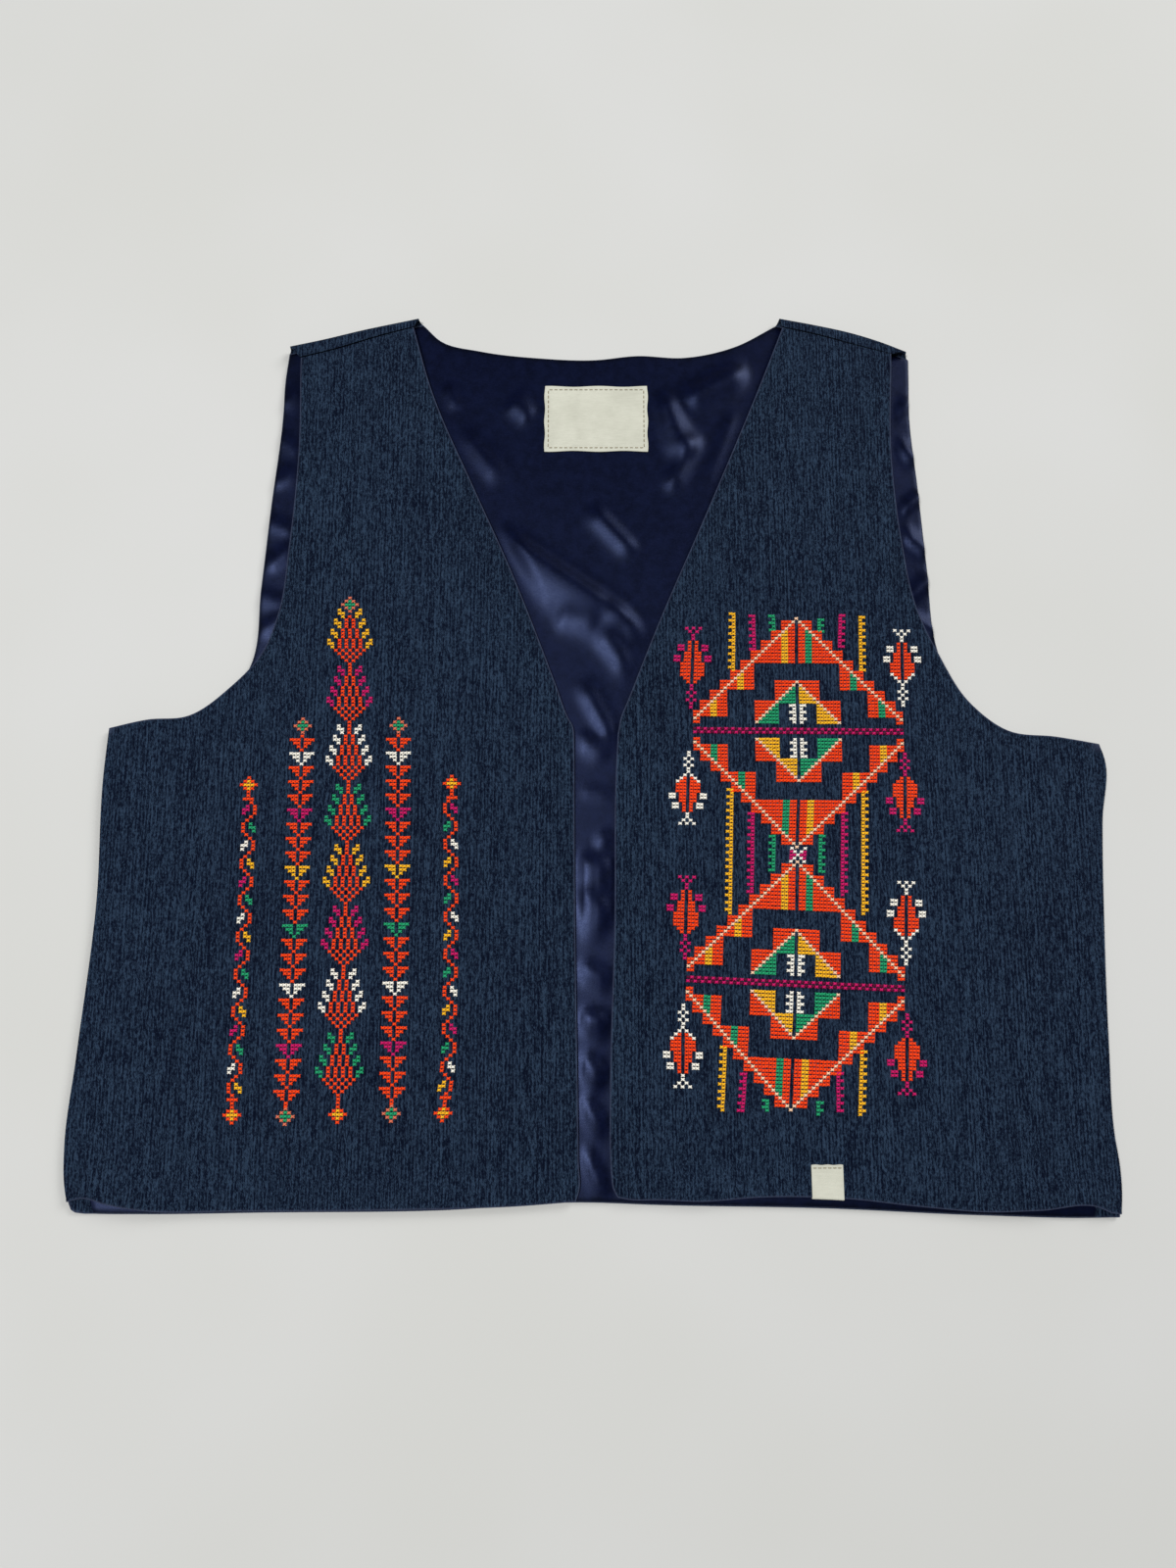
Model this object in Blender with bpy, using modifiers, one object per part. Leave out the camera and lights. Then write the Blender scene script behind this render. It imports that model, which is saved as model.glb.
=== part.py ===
"""A sleeveless vest of dark denim, laid flat on a table with its fronts up.

+X is the wearer's left, +Y runs from the hem to the neck, +Z is up, and the
origin is under the middle of the garment. The back lies on the table. Its
satin lining lies on it, and the two fronts lie on that. At each shoulder the
back rolls over the fold and meets the front at the shoulder seam.
"""

import math
from collections import namedtuple
from functools import partial

import bmesh
import bpy
import numpy as np

MM = 0.001
COLLECTION = "embroidered_folk_vest"

# Thicknesses of the cloth and heights above the table, in millimetres.
BACK_WALL = 1.2
LINING_WALL = 1.0
FRONT_WALL = 1.6
LABEL_WALL = 1.0
SEAM_GAP = 0.3
FOLD_RADIUS = 3.5
FOLD_STEP = 0.02
LINING_TOP = BACK_WALL + SEAM_GAP + LINING_WALL
FRONT_BOTTOM = LINING_TOP + SEAM_GAP
FRONT_TOP = FRONT_BOTTOM + FRONT_WALL
SHOULDER_TOP = 2 * FOLD_RADIUS
SHOULDER_REACH = 62.0

# At the side seams the back curls up and the front comes down to meet it.
SIDE_CURL = 0.9
SIDE_DROP = FRONT_BOTTOM - (SIDE_CURL + BACK_WALL + SEAM_GAP)
SIDE_REACH = 10.0

# How far the lining's edges lie inside the back's.
LINING_INSET = 1.6
LINING_SIDE_INSET = 20.0

# The lining lies flat for some way inside the fronts' edges, below the back
# neck and round the neck label, and then rises softly to its folds.
FLAT_BY_FRONTS = 10.0
RISE_BY_FRONTS = 16.0
RISE_BY_NECK = 10.0
FLAT_BY_LABEL = 16.0
RISE_BY_LABEL = 16.0

# Cells of the panels. The row by the hem and the columns by the side seams are
# narrow ones. The waist is the share of the rows at the underarm.
BODY_ROWS = 13
ARMHOLE_ROWS = 16
WAIST = 0.45
HEM_ROW = 8.0
SIDE_COLUMN = 12.0
FRONT_COLUMNS = 12
SHOULDER_COLUMNS = 5
NECK_COLUMNS = 12
NECK_START = SHOULDER_COLUMNS / (2 * SHOULDER_COLUMNS + NECK_COLUMNS)
LINING_COLUMNS = 28
LINING_ROWS = 32
ARC_STEPS = 6

DENIM = (0.012, 0.022, 0.041, 1.0)
SATIN = (0.006, 0.010, 0.028, 1.0)
LABEL = (0.60, 0.60, 0.50, 1.0)

Knot = namedtuple("Knot", "x y")
Lift = namedtuple("Lift", "x y reach_x reach_y height")
Crease = namedtuple("Crease", "x0 y0 x1 y1 width height")

# The right front. Each edge is a smooth curve through its knots.
RIGHT_SIDE = (
    Knot(-275.7, -245.1),
    Knot(-277.7, -235.4),
    Knot(-278.9, -218.5),
    Knot(-276.2, -172.5),
    Knot(-271.4, -90.0),
    Knot(-272.6, -20.5),
    Knot(-271.3, 5.9),
)
RIGHT_ARMHOLE = (
    Knot(-271.3, 5.9),
    Knot(-249.9, 10.7),
    Knot(-228.3, 12.6),
    Knot(-205.3, 29.1),
    Knot(-187.8, 49.7),
    Knot(-180.8, 69.4),
    Knot(-176.1, 112.8),
    Knot(-173.2, 168.5),
    Knot(-173.7, 226.7),
)
RIGHT_CENTRE = (
    Knot(-13.3, -244.4),
    Knot(-10.5, -236.5),
    Knot(-11.7, -192.5),
    Knot(-13.1, -87.5),
    Knot(-13.6, 1.5),
)
RIGHT_NECK = (
    Knot(-13.6, 1.5),
    Knot(-14.4, 6.5),
    Knot(-17.4, 12.4),
    Knot(-24.0, 30.5),
    Knot(-49.3, 96.2),
    Knot(-71.1, 145.7),
    Knot(-97.9, 209.3),
    Knot(-108.4, 246.0),
)
RIGHT_HEM = (
    Knot(-275.7, -245.1),
    Knot(-267.1, -243.0),
    Knot(-254.7, -245.8),
    Knot(-234.5, -249.0),
    Knot(-182.3, -249.4),
    Knot(-101.8, -248.7),
    Knot(-41.3, -247.0),
    Knot(-13.3, -244.4),
)
RIGHT_SHOULDER_SEAM = (
    Knot(-173.7, 226.7),
    Knot(-152.7, 232.3),
    Knot(-127.8, 240.4),
    Knot(-108.4, 246.0),
)
RIGHT_SHOULDER_FOLD = (
    Knot(-181.1, 235.2),
    Knot(-161.7, 239.7),
    Knot(-138.8, 245.7),
    Knot(-105.8, 253.1),
)

# The left front, in the same order.
LEFT_SIDE = (
    Knot(269.4, -251.1),
    Knot(270.4, -240.5),
    Knot(270.4, -227.5),
    Knot(268.8, -211.5),
    Knot(269.3, -167.5),
    Knot(271.8, -100.5),
    Knot(275.1, -45.5),
    Knot(278.6, -10.5),
    Knot(276.3, -3.1),
)
LEFT_ARMHOLE = (
    Knot(276.3, -3.1),
    Knot(252.3, 0.8),
    Knot(226.6, 4.3),
    Knot(205.9, 20.4),
    Knot(190.0, 47.8),
    Knot(179.4, 74.0),
    Knot(172.8, 114.0),
    Knot(169.2, 164.5),
    Knot(171.1, 229.2),
)
LEFT_CENTRE = (
    Knot(11.2, -242.1),
    Knot(6.1, -232.5),
    Knot(5.5, -192.5),
    Knot(8.3, -100.5),
    Knot(9.3, -20.5),
    Knot(10.5, 2.6),
)
LEFT_NECK = (
    Knot(10.5, 2.6),
    Knot(12.3, 12.0),
    Knot(15.6, 20.2),
    Knot(33.9, 66.7),
    Knot(58.7, 124.5),
    Knot(79.7, 174.8),
    Knot(97.5, 218.6),
    Knot(108.1, 245.9),
)
LEFT_HEM = (
    Knot(11.2, -242.1),
    Knot(31.9, -243.7),
    Knot(51.0, -244.6),
    Knot(83.9, -242.4),
    Knot(127.3, -243.3),
    Knot(165.7, -247.3),
    Knot(202.2, -249.9),
    Knot(226.0, -248.9),
    Knot(258.6, -247.9),
    Knot(263.4, -250.2),
    Knot(269.4, -251.1),
)
LEFT_SHOULDER_SEAM = (
    Knot(108.1, 245.9),
    Knot(129.8, 240.7),
    Knot(151.5, 234.3),
    Knot(171.1, 229.2),
)
LEFT_SHOULDER_FOLD = (
    Knot(106.8, 253.1),
    Knot(126.9, 249.1),
    Knot(149.8, 243.5),
    Knot(166.8, 237.6),
    Knot(180.8, 231.4),
)

# The back. Its sides follow the fronts', and its armholes are cut less deep,
# so that they show beside the fronts'. The shoulders complete these edges.
BACK_RIGHT_ARMHOLE = (
    Knot(-271.3, 5.9),
    Knot(-247.3, 8.5),
    Knot(-220.3, 14.5),
    Knot(-204.3, 25.5),
    Knot(-195.7, 41.8),
    Knot(-191.8, 87.8),
    Knot(-188.5, 134.9),
    Knot(-183.9, 195.5),
    Knot(-183.7, 213.0),
)
BACK_LEFT_ARMHOLE = (
    Knot(276.3, -3.1),
    Knot(250.7, -0.5),
    Knot(221.7, 4.5),
    Knot(202.7, 18.5),
    Knot(190.2, 53.2),
    Knot(187.1, 99.4),
    Knot(184.3, 146.9),
    Knot(181.4, 195.5),
    Knot(182.0, 213.0),
)
BACK_NECK = (
    Knot(-92.8, 240.4),
    Knot(-69.5, 234.0),
    Knot(-34.9, 229.6),
    Knot(-2.3, 228.4),
    Knot(22.8, 231.1),
    Knot(50.7, 229.9),
    Knot(80.7, 236.9),
)
BACK_HEM = (
    Knot(-274.0, -249.2),
    Knot(-271.4, -250.8),
    Knot(-264.0, -251.2),
    Knot(-236.2, -251.5),
    Knot(-173.7, -250.7),
    Knot(-82.3, -249.6),
    Knot(-10.1, -245.7),
    Knot(32.0, -247.0),
    Knot(117.0, -248.6),
    Knot(196.2, -252.0),
    Knot(264.0, -253.1),
    Knot(269.2, -252.9),
)

# Places where a front stands off the lining.
RIGHT_LIFTS = (
    Lift(-247.3, -250.5, 26.0, 20.0, 3.0),
    Lift(-124.3, -252.5, 60.0, 26.0, 0.8),
    Lift(-62.3, 127.5, 16.0, 70.0, 0.9),
    Lift(-180.3, 59.5, 20.0, 44.0, 1.0),
)
LEFT_LIFTS = (
    Lift(240.0, -252.5, 30.0, 22.0, 2.8),
    Lift(73.7, -248.5, 44.0, 22.0, 1.6),
    Lift(253.7, 5.5, 15.0, 14.0, 0.9),
    Lift(57.7, 123.5, 16.0, 66.0, 0.9),
    Lift(185.7, 51.5, 22.0, 40.0, 1.0),
)

# Soft folds of the lining, where it shows between the fronts.
LINING_CREASES = (
    Crease(-54.3, 105.5, 25.7, 57.5, 12.0, 2.6),
    Crease(-26.3, 65.5, 3.7, 37.5, 10.0, 1.8),
    Crease(-80.3, 185.5, -40.3, 147.5, 12.0, 1.8),
    Crease(-2.3, 139.5, 23.7, 107.5, 10.0, 1.6),
    Crease(77.7, 213.5, 45.7, 149.5, 12.0, 2.0),
)

# The labels, as sewn on. The hem label turns down over the front's hem.
NECK_LABEL_CORNER = Knot(-31.3, 170.1)
NECK_LABEL_SIZE = Knot(60.0, 40.6)
NECK_LABEL_COLUMNS = 6
NECK_LABEL_ROWS = 4
HEM_LABEL_LEFT = 109.7
HEM_LABEL_WIDTH = 16.6
HEM_LABEL_HEAD = -226.3
HEM_LABEL_END = 3.0
HEM_LABEL_COLUMNS = 3
HEM_LABEL_ROWS = 10
HEM_LABEL_TURN_LOW = 0.1
HEM_LABEL_TURN_HIGH = 0.3


def smoothstep(value):
    """0 below 0, 1 above 1, and a soft rise between."""
    share = min(max(value, 0.0), 1.0)
    return share * share * (3.0 - 2.0 * share)


def smooth_line(knots, steps=10):
    """Points along a smooth curve through the knots."""
    points = np.array(knots, float)
    spans = np.linalg.norm(np.diff(points, axis=0), axis=1)[:, None]
    slopes = np.diff(points, axis=0) / spans
    middle = (slopes[:-1] * spans[1:] + slopes[1:] * spans[:-1]) / (spans[:-1] + spans[1:])
    tangents = np.vstack((slopes[:1], middle, slopes[-1:]))
    t = np.linspace(0.0, 1.0, steps, endpoint=False)[:, None]
    runs = []
    for k, span in enumerate(spans[:, 0]):
        runs.append(
            (2 * t**3 - 3 * t**2 + 1) * points[k]
            + (t**3 - 2 * t**2 + t) * span * tangents[k]
            + (3 * t**2 - 2 * t**3) * points[k + 1]
            + (t**3 - t**2) * span * tangents[k + 1]
        )
    return np.vstack(runs + [points[-1:]])


def line_length(line):
    """The length of a line of points."""
    return float(np.linalg.norm(np.diff(line, axis=0), axis=1).sum())


def along(line, share):
    """The point a share of the way along a line."""
    steps = np.linalg.norm(np.diff(line, axis=0), axis=1)
    lengths = np.concatenate(([0.0], np.cumsum(steps)))
    place = share * lengths[-1]
    return np.array([np.interp(place, lengths, line[:, k]) for k in (0, 1)])


def edge(runs, breaks):
    """A panel's edge as a function of a share. Its runs, functions too, meet at the breaks."""

    def at(share):
        run = min(int(np.searchsorted(breaks[1:], share - 1e-9)), len(runs) - 1)
        start, end = breaks[run], breaks[run + 1]
        return runs[run]((share - start) / (end - start))

    return at


def level_with(line, other, share):
    """The point as far up a line as a share along the other line lies up that one."""
    risen = (along(other, share)[1] - other[0][1]) / (other[-1][1] - other[0][1])
    y = line[0][1] + risen * (line[-1][1] - line[0][1])
    return np.array([np.interp(y, line[:, 1], line[:, 0]), y])


def bend(run, share):
    """How far an edge strays, at a share, from the straight line between its ends."""
    return run(share) - (1 - share) * run(0.0) - share * run(1.0)


def panel_point(edges, u, v):
    """The point at u across and v up the panel that four edges bound. The waist row is straight."""
    left, right, bottom, top = edges
    below = max(1.0 - v / WAIST, 0.0)
    above = max((v - WAIST) / (1.0 - WAIST), 0.0)
    straight = (1 - u) * left(v) + u * right(v)
    return straight + below**2 * bend(bottom, u) + above**2 * bend(top, u)


def side_share(x, y):
    """1 at a side seam and 0 from SIDE_REACH inside it."""
    right_edge = np.interp(y, RIGHT_SIDE_LINE[:, 1], RIGHT_SIDE_LINE[:, 0])
    left_edge = np.interp(y, LEFT_SIDE_LINE[:, 1], LEFT_SIDE_LINE[:, 0])
    inside = min(x - right_edge, left_edge - x)
    return smoothstep(1.0 - inside / SIDE_REACH)


def shoulder_share(x, y):
    """1 at a shoulder seam and 0 from SHOULDER_REACH below it."""
    seam = RIGHT_SEAM_LINE if x < 0 else LEFT_SEAM_LINE
    below = np.interp(x, seam[:, 0], seam[:, 1]) - y
    return smoothstep(1.0 - below / SHOULDER_REACH)


def front_top(x, y):
    """Height of the outer face of a front."""
    side = side_share(x, y)
    height = FRONT_TOP - SIDE_DROP * side
    height += (SHOULDER_TOP - FRONT_TOP) * shoulder_share(x, y)
    for lift in RIGHT_LIFTS if x < 0 else LEFT_LIFTS:
        away = ((x - lift.x) / lift.reach_x) ** 2 + ((y - lift.y) / lift.reach_y) ** 2
        height += lift.height * math.exp(-away) * (1.0 - side)
    return height


def between_fronts(x, y):
    """0 under the fronts and by the back neck, and 1 well inside the V."""
    right_edge = np.interp(y, RIGHT_OPENING_LINE[:, 1], RIGHT_OPENING_LINE[:, 0])
    left_edge = np.interp(y, LEFT_OPENING_LINE[:, 1], LEFT_OPENING_LINE[:, 0])
    inside = min(x - right_edge, left_edge - x) - FLAT_BY_FRONTS
    below_neck = min(knot.y for knot in BACK_NECK) - y
    return smoothstep(inside / RISE_BY_FRONTS) * smoothstep(below_neck / RISE_BY_NECK)


def off_label(x, y):
    """0 on and round the neck label, and 1 well away from it."""
    middle_x = NECK_LABEL_CORNER.x + NECK_LABEL_SIZE.x / 2
    middle_y = NECK_LABEL_CORNER.y + NECK_LABEL_SIZE.y / 2
    away_x = max(abs(x - middle_x) - NECK_LABEL_SIZE.x / 2, 0.0)
    away_y = max(abs(y - middle_y) - NECK_LABEL_SIZE.y / 2, 0.0)
    return smoothstep((math.hypot(away_x, away_y) - FLAT_BY_LABEL) / RISE_BY_LABEL)


def crease_height(crease, x, y):
    """Height that one fold adds, fading out past its ends."""
    run = np.array((crease.x1 - crease.x0, crease.y1 - crease.y0))
    offset = np.array((x - crease.x0, y - crease.y0))
    share = float(offset @ run / (run @ run))
    aside = float(run[0] * offset[1] - run[1] * offset[0]) / np.linalg.norm(run)
    ends = smoothstep(0.5 + 2 * share) * smoothstep(2.5 - 2 * share)
    return crease.height * ends * math.exp(-((aside / crease.width) ** 2))


def lining_top(x, y):
    """Height of the upper face of the back lining."""
    folds = sum(crease_height(crease, x, y) for crease in LINING_CREASES)
    return LINING_TOP + folds * between_fronts(x, y) * off_label(x, y)


def fold_place(fold, seam, share):
    """A point on a shoulder fold, with the unit step over it to the seam and the one below it."""
    outer = along(fold, share)
    over = along(seam, share) - outer
    over /= np.linalg.norm(over)
    run = along(fold, min(share + FOLD_STEP, 1.0)) - along(fold, max(share - FOLD_STEP, 0.0))
    run /= np.linalg.norm(run)
    return outer, over, over - 2 * (over @ run) * run


def fold_foot(fold, seam, share):
    """Where the back leaves the table to roll over a shoulder fold."""
    outer, _, under = fold_place(fold, seam, share)
    return outer + FOLD_RADIUS * under


def add_sheet(shape, across, upward, place):
    """A grid with a column line at each share across and a row line at each share upward."""
    before = set(shape.verts)
    bmesh.ops.create_grid(shape, x_segments=len(across) - 1, y_segments=len(upward) - 1, size=1.0)
    for vertex in set(shape.verts) - before:
        column = round((vertex.co.x + 1) / 2 * (len(across) - 1))
        row = round((vertex.co.y + 1) / 2 * (len(upward) - 1))
        vertex.co = [MM * value for value in place(across[column], upward[row])]


def add_cloth(name, shape, wall, side, colour, roughness):
    """A piece of cloth from its open sheet. Side 1 adds the wall above it, and -1 below."""
    bmesh.ops.remove_doubles(shape, verts=shape.verts[:], dist=0.00001)
    mesh = bpy.data.meshes.new(name)
    shape.to_mesh(mesh)
    shape.free()
    mesh.shade_smooth()
    material = bpy.data.materials.new(name)
    material.use_nodes = True
    shader = material.node_tree.nodes["Principled BSDF"]
    shader.inputs["Base Color"].default_value = colour
    shader.inputs["Roughness"].default_value = roughness
    shader.inputs["Metallic"].default_value = 0.0
    mesh.materials.append(material)
    piece = bpy.data.objects.new(name, mesh)
    bpy.data.collections[COLLECTION].objects.link(piece)
    thickness = piece.modifiers.new("Cloth wall", "SOLIDIFY")
    thickness.thickness = wall * MM
    thickness.offset = side
    thickness.use_even_offset = True
    thickness.use_quality_normals = True


def even_shares(count):
    """The shares that part a length into equal cells."""
    return list(np.linspace(0.0, 1.0, count + 1))


def panel_rows():
    """The shares of a panel's rows from hem to shoulder."""
    narrow = HEM_ROW / line_length(RIGHT_SIDE_LINE) * WAIST
    body = [0.0] + list(np.linspace(narrow, WAIST, BODY_ROWS))
    return body + list(np.linspace(WAIST, 1.0, ARMHOLE_ROWS + 1))[1:]


def make_front(name, left, right, hem, seam, columns):
    """A front, laid from its outer face down. Each side is a lower and an upper run."""
    edges = (
        edge(left, (0.0, WAIST, 1.0)),
        edge(right, (0.0, WAIST, 1.0)),
        partial(along, hem),
        partial(along, seam),
    )

    def place(u, v):
        x, y = panel_point(edges, u, v)
        return x, y, front_top(x, y)

    shape = bmesh.new()
    add_sheet(shape, columns, panel_rows(), place)
    add_cloth(name, shape, FRONT_WALL, -1, DENIM, 0.85)


def make_fronts():
    """The two fronts, each cut to its shoulder seam, with a narrow column by its side seam."""
    narrow = SIDE_COLUMN / line_length(RIGHT_HEM_LINE)
    from_side = [0.0] + list(np.linspace(narrow, 1.0, FRONT_COLUMNS))
    to_side = [1.0 - share for share in reversed(from_side)]
    right_armhole = smooth_line(RIGHT_ARMHOLE)
    left_armhole = smooth_line(LEFT_ARMHOLE)
    right_neck = partial(level_with, smooth_line(RIGHT_NECK), right_armhole)
    left_neck = partial(level_with, smooth_line(LEFT_NECK), left_armhole)
    make_front(
        "front_right",
        (partial(along, RIGHT_SIDE_LINE), partial(along, right_armhole)),
        (partial(along, smooth_line(RIGHT_CENTRE)), right_neck),
        RIGHT_HEM_LINE,
        RIGHT_SEAM_LINE,
        from_side,
    )
    make_front(
        "front_left",
        (partial(along, smooth_line(LEFT_CENTRE)), left_neck),
        (partial(along, LEFT_SIDE_LINE), partial(along, left_armhole)),
        LEFT_HEM_LINE,
        LEFT_SEAM_LINE,
        to_side,
    )


def back_edges():
    """The back's four edges, up to where it leaves the table at the shoulder folds."""
    right_foot = partial(fold_foot, RIGHT_FOLD_LINE, RIGHT_SEAM_LINE)
    left_foot = partial(fold_foot, LEFT_FOLD_LINE, LEFT_SEAM_LINE)
    right_side = smooth_line((BACK_HEM[0],) + RIGHT_SIDE)
    left_side = smooth_line((BACK_HEM[-1],) + LEFT_SIDE)
    right_armhole = smooth_line(BACK_RIGHT_ARMHOLE + (Knot(*right_foot(0.0)),))
    left_armhole = smooth_line(BACK_LEFT_ARMHOLE + (Knot(*left_foot(1.0)),))
    neck = smooth_line((Knot(*right_foot(1.0)),) + BACK_NECK + (Knot(*left_foot(0.0)),))
    return (
        edge((partial(along, right_side), partial(along, right_armhole)), (0.0, WAIST, 1.0)),
        edge((partial(along, left_side), partial(along, left_armhole)), (0.0, WAIST, 1.0)),
        partial(along, smooth_line(BACK_HEM)),
        edge((right_foot, partial(along, neck), left_foot), (0.0, NECK_START, 1.0 - NECK_START, 1.0)),
    )


def shoulder_point(fold, seam, u, v):
    """A point of the roll over a shoulder fold: an arc, and then the last step to the seam."""
    outer, over, under = fold_place(fold, seam, u)
    turn = v * (ARC_STEPS + 1) / ARC_STEPS
    if turn > 1.0:
        x, y = along(seam, u) - SEAM_GAP * over
        return x, y, SHOULDER_TOP
    inward = over if turn > 0.5 else under
    x, y = outer + FOLD_RADIUS * (1.0 - math.sin(math.pi * turn)) * inward
    return x, y, FOLD_RADIUS * (1.0 - math.cos(math.pi * turn))


def make_back(edges):
    """The back, from its face on the table up, with a roll over each shoulder."""
    narrow = SIDE_COLUMN / (BACK_HEM[-1].x - BACK_HEM[0].x)
    shoulder = [0.0] + list(np.linspace(narrow, NECK_START, SHOULDER_COLUMNS))
    neck = list(np.linspace(NECK_START, 1.0 - NECK_START, NECK_COLUMNS + 1))
    columns = shoulder + neck[1:-1] + [1.0 - share for share in reversed(shoulder)]

    def place(u, v):
        x, y = panel_point(edges, u, v)
        return x, y, SIDE_CURL * side_share(x, y)

    def right_roll(u, v):
        return shoulder_point(RIGHT_FOLD_LINE, RIGHT_SEAM_LINE, u, v)

    def left_roll(u, v):
        return shoulder_point(LEFT_FOLD_LINE, LEFT_SEAM_LINE, u, v)

    from_armhole = [share / NECK_START for share in shoulder]
    to_armhole = [1.0 - share for share in reversed(from_armhole)]
    shape = bmesh.new()
    add_sheet(shape, columns, panel_rows(), place)
    add_sheet(shape, from_armhole, even_shares(ARC_STEPS + 1), right_roll)
    add_sheet(shape, to_armhole, even_shares(ARC_STEPS + 1), left_roll)
    add_cloth("back", shape, BACK_WALL, 1, DENIM, 0.85)


def make_lining(edges):
    """The back lining, made from the back's own points a little inside its edges."""
    left, right = edges[:2]
    armhole = line_length(smooth_line(BACK_RIGHT_ARMHOLE))
    least_length = min(knot.y for knot in BACK_NECK) - max(knot.y for knot in BACK_HEM)
    trim = LINING_INSET / least_length

    def place(u, v):
        row = trim + v * (1.0 - 2 * trim)
        past_underarm = max(row - WAIST, 0.0) / (1.0 - WAIST) * armhole
        inset = max(LINING_INSET, LINING_SIDE_INSET - past_underarm)
        start = inset / np.linalg.norm(right(row) - left(row))
        x, y = panel_point(edges, start + u * (1.0 - 2 * start), row)
        return x, y, lining_top(x, y)

    shape = bmesh.new()
    add_sheet(shape, even_shares(LINING_COLUMNS), even_shares(LINING_ROWS), place)
    add_cloth("back_lining", shape, LINING_WALL, -1, SATIN, 0.4)


def make_neck_label():
    """The neck label, flat on the lining."""

    def place(u, v):
        x = NECK_LABEL_CORNER.x + u * NECK_LABEL_SIZE.x
        y = NECK_LABEL_CORNER.y + v * NECK_LABEL_SIZE.y
        return x, y, lining_top(x, y) + SEAM_GAP + LABEL_WALL

    shape = bmesh.new()
    add_sheet(shape, even_shares(NECK_LABEL_COLUMNS), even_shares(NECK_LABEL_ROWS), place)
    add_cloth("neck_label", shape, LABEL_WALL, -1, LABEL, 0.8)


def make_hem_label():
    """The hem label, from its end under the hem, round the hem and up to its head."""
    reach = SEAM_GAP + LABEL_WALL

    def place(u, v):
        x = HEM_LABEL_LEFT + u * HEM_LABEL_WIDTH
        hem_y = float(np.interp(x, LEFT_HEM_LINE[:, 0], LEFT_HEM_LINE[:, 1]))
        if v < HEM_LABEL_TURN_LOW:
            return x, hem_y - reach, HEM_LABEL_END
        if v < HEM_LABEL_TURN_HIGH:
            turn = (v - HEM_LABEL_TURN_LOW) / (HEM_LABEL_TURN_HIGH - HEM_LABEL_TURN_LOW)
            y = hem_y - reach * math.cos(turn * math.pi / 2)
            return x, y, front_top(x, hem_y) + reach * math.sin(turn * math.pi / 2)
        y = hem_y + (v - HEM_LABEL_TURN_HIGH) / (1.0 - HEM_LABEL_TURN_HIGH) * (HEM_LABEL_HEAD - hem_y)
        return x, y, front_top(x, y) + reach

    shape = bmesh.new()
    add_sheet(shape, even_shares(HEM_LABEL_COLUMNS), even_shares(HEM_LABEL_ROWS), place)
    add_cloth("hem_label", shape, LABEL_WALL, -1, LABEL, 0.8)


RIGHT_SIDE_LINE = smooth_line(RIGHT_SIDE)
RIGHT_HEM_LINE = smooth_line(RIGHT_HEM)
RIGHT_SEAM_LINE = smooth_line(RIGHT_SHOULDER_SEAM)
RIGHT_FOLD_LINE = smooth_line(RIGHT_SHOULDER_FOLD)
RIGHT_OPENING_LINE = np.vstack((smooth_line(RIGHT_CENTRE), smooth_line(RIGHT_NECK)))
LEFT_SIDE_LINE = smooth_line(LEFT_SIDE)
LEFT_HEM_LINE = smooth_line(LEFT_HEM)
LEFT_SEAM_LINE = smooth_line(LEFT_SHOULDER_SEAM)
LEFT_FOLD_LINE = smooth_line(LEFT_SHOULDER_FOLD)
LEFT_OPENING_LINE = np.vstack((smooth_line(LEFT_CENTRE), smooth_line(LEFT_NECK)))

for thing in list(bpy.data.objects):
    bpy.data.objects.remove(thing, do_unlink=True)
bpy.context.scene.collection.children.link(bpy.data.collections.new(COLLECTION))

BACK_EDGES = back_edges()
make_back(BACK_EDGES)
make_lining(BACK_EDGES)
make_fronts()
make_neck_label()
make_hem_label()
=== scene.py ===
"""The looks of a sleeveless denim vest with counted-thread embroidery, laid flat, fronts up.

It is dressed in the order in which it is put together: the back, its lining, the two fronts,
the labels and the embroidery, and then the table, the lights and the camera. Sizes are in
millimetres, and MM makes metres of them. +X is the wearer's left and +Y runs to the neck.
"""

import math
from collections import namedtuple
from functools import partial

import bmesh
import bpy
import numpy as np
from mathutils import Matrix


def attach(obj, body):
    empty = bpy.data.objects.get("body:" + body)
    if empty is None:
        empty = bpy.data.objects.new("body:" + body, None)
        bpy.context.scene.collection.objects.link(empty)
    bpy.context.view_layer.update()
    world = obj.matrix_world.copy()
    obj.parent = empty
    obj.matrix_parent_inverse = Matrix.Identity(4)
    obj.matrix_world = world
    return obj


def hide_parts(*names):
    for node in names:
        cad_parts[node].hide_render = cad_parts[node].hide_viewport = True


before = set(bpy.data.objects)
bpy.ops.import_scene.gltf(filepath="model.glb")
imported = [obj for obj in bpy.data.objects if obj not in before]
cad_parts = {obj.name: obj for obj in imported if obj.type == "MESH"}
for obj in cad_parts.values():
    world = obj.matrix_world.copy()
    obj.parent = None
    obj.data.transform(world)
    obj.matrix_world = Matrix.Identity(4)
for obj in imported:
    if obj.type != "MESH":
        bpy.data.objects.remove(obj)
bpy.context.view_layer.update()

# The back is one panel of indigo denim that lies with its right side on the table. At each
# shoulder it rolls over the fold, to be sewn to the front a little way down the chest, and at
# the side seams it curls up to meet the fronts.
MM = 0.001
BACK_WALL = 1.2
SEAM_GROOVE = 0.9
FOLD_RADIUS = 3.5
SHOULDER_TOP = 2 * FOLD_RADIUS
SIDE_CURL = 0.9
SIDE_REACH = 10.0
WAIST = 0.45
CELL = 3.0
RIM_STEPS = np.array((0.0, 0.35, 0.8, 1.3, 1.9, 2.7))
FOLD_STEP = 0.02
ARC_STEPS = 14
SHOULDER_COLUMNS = 26
NECK_COLUMNS = 62
NECK_START = 5 / 22

Knot = namedtuple("Knot", "x y")


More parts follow.
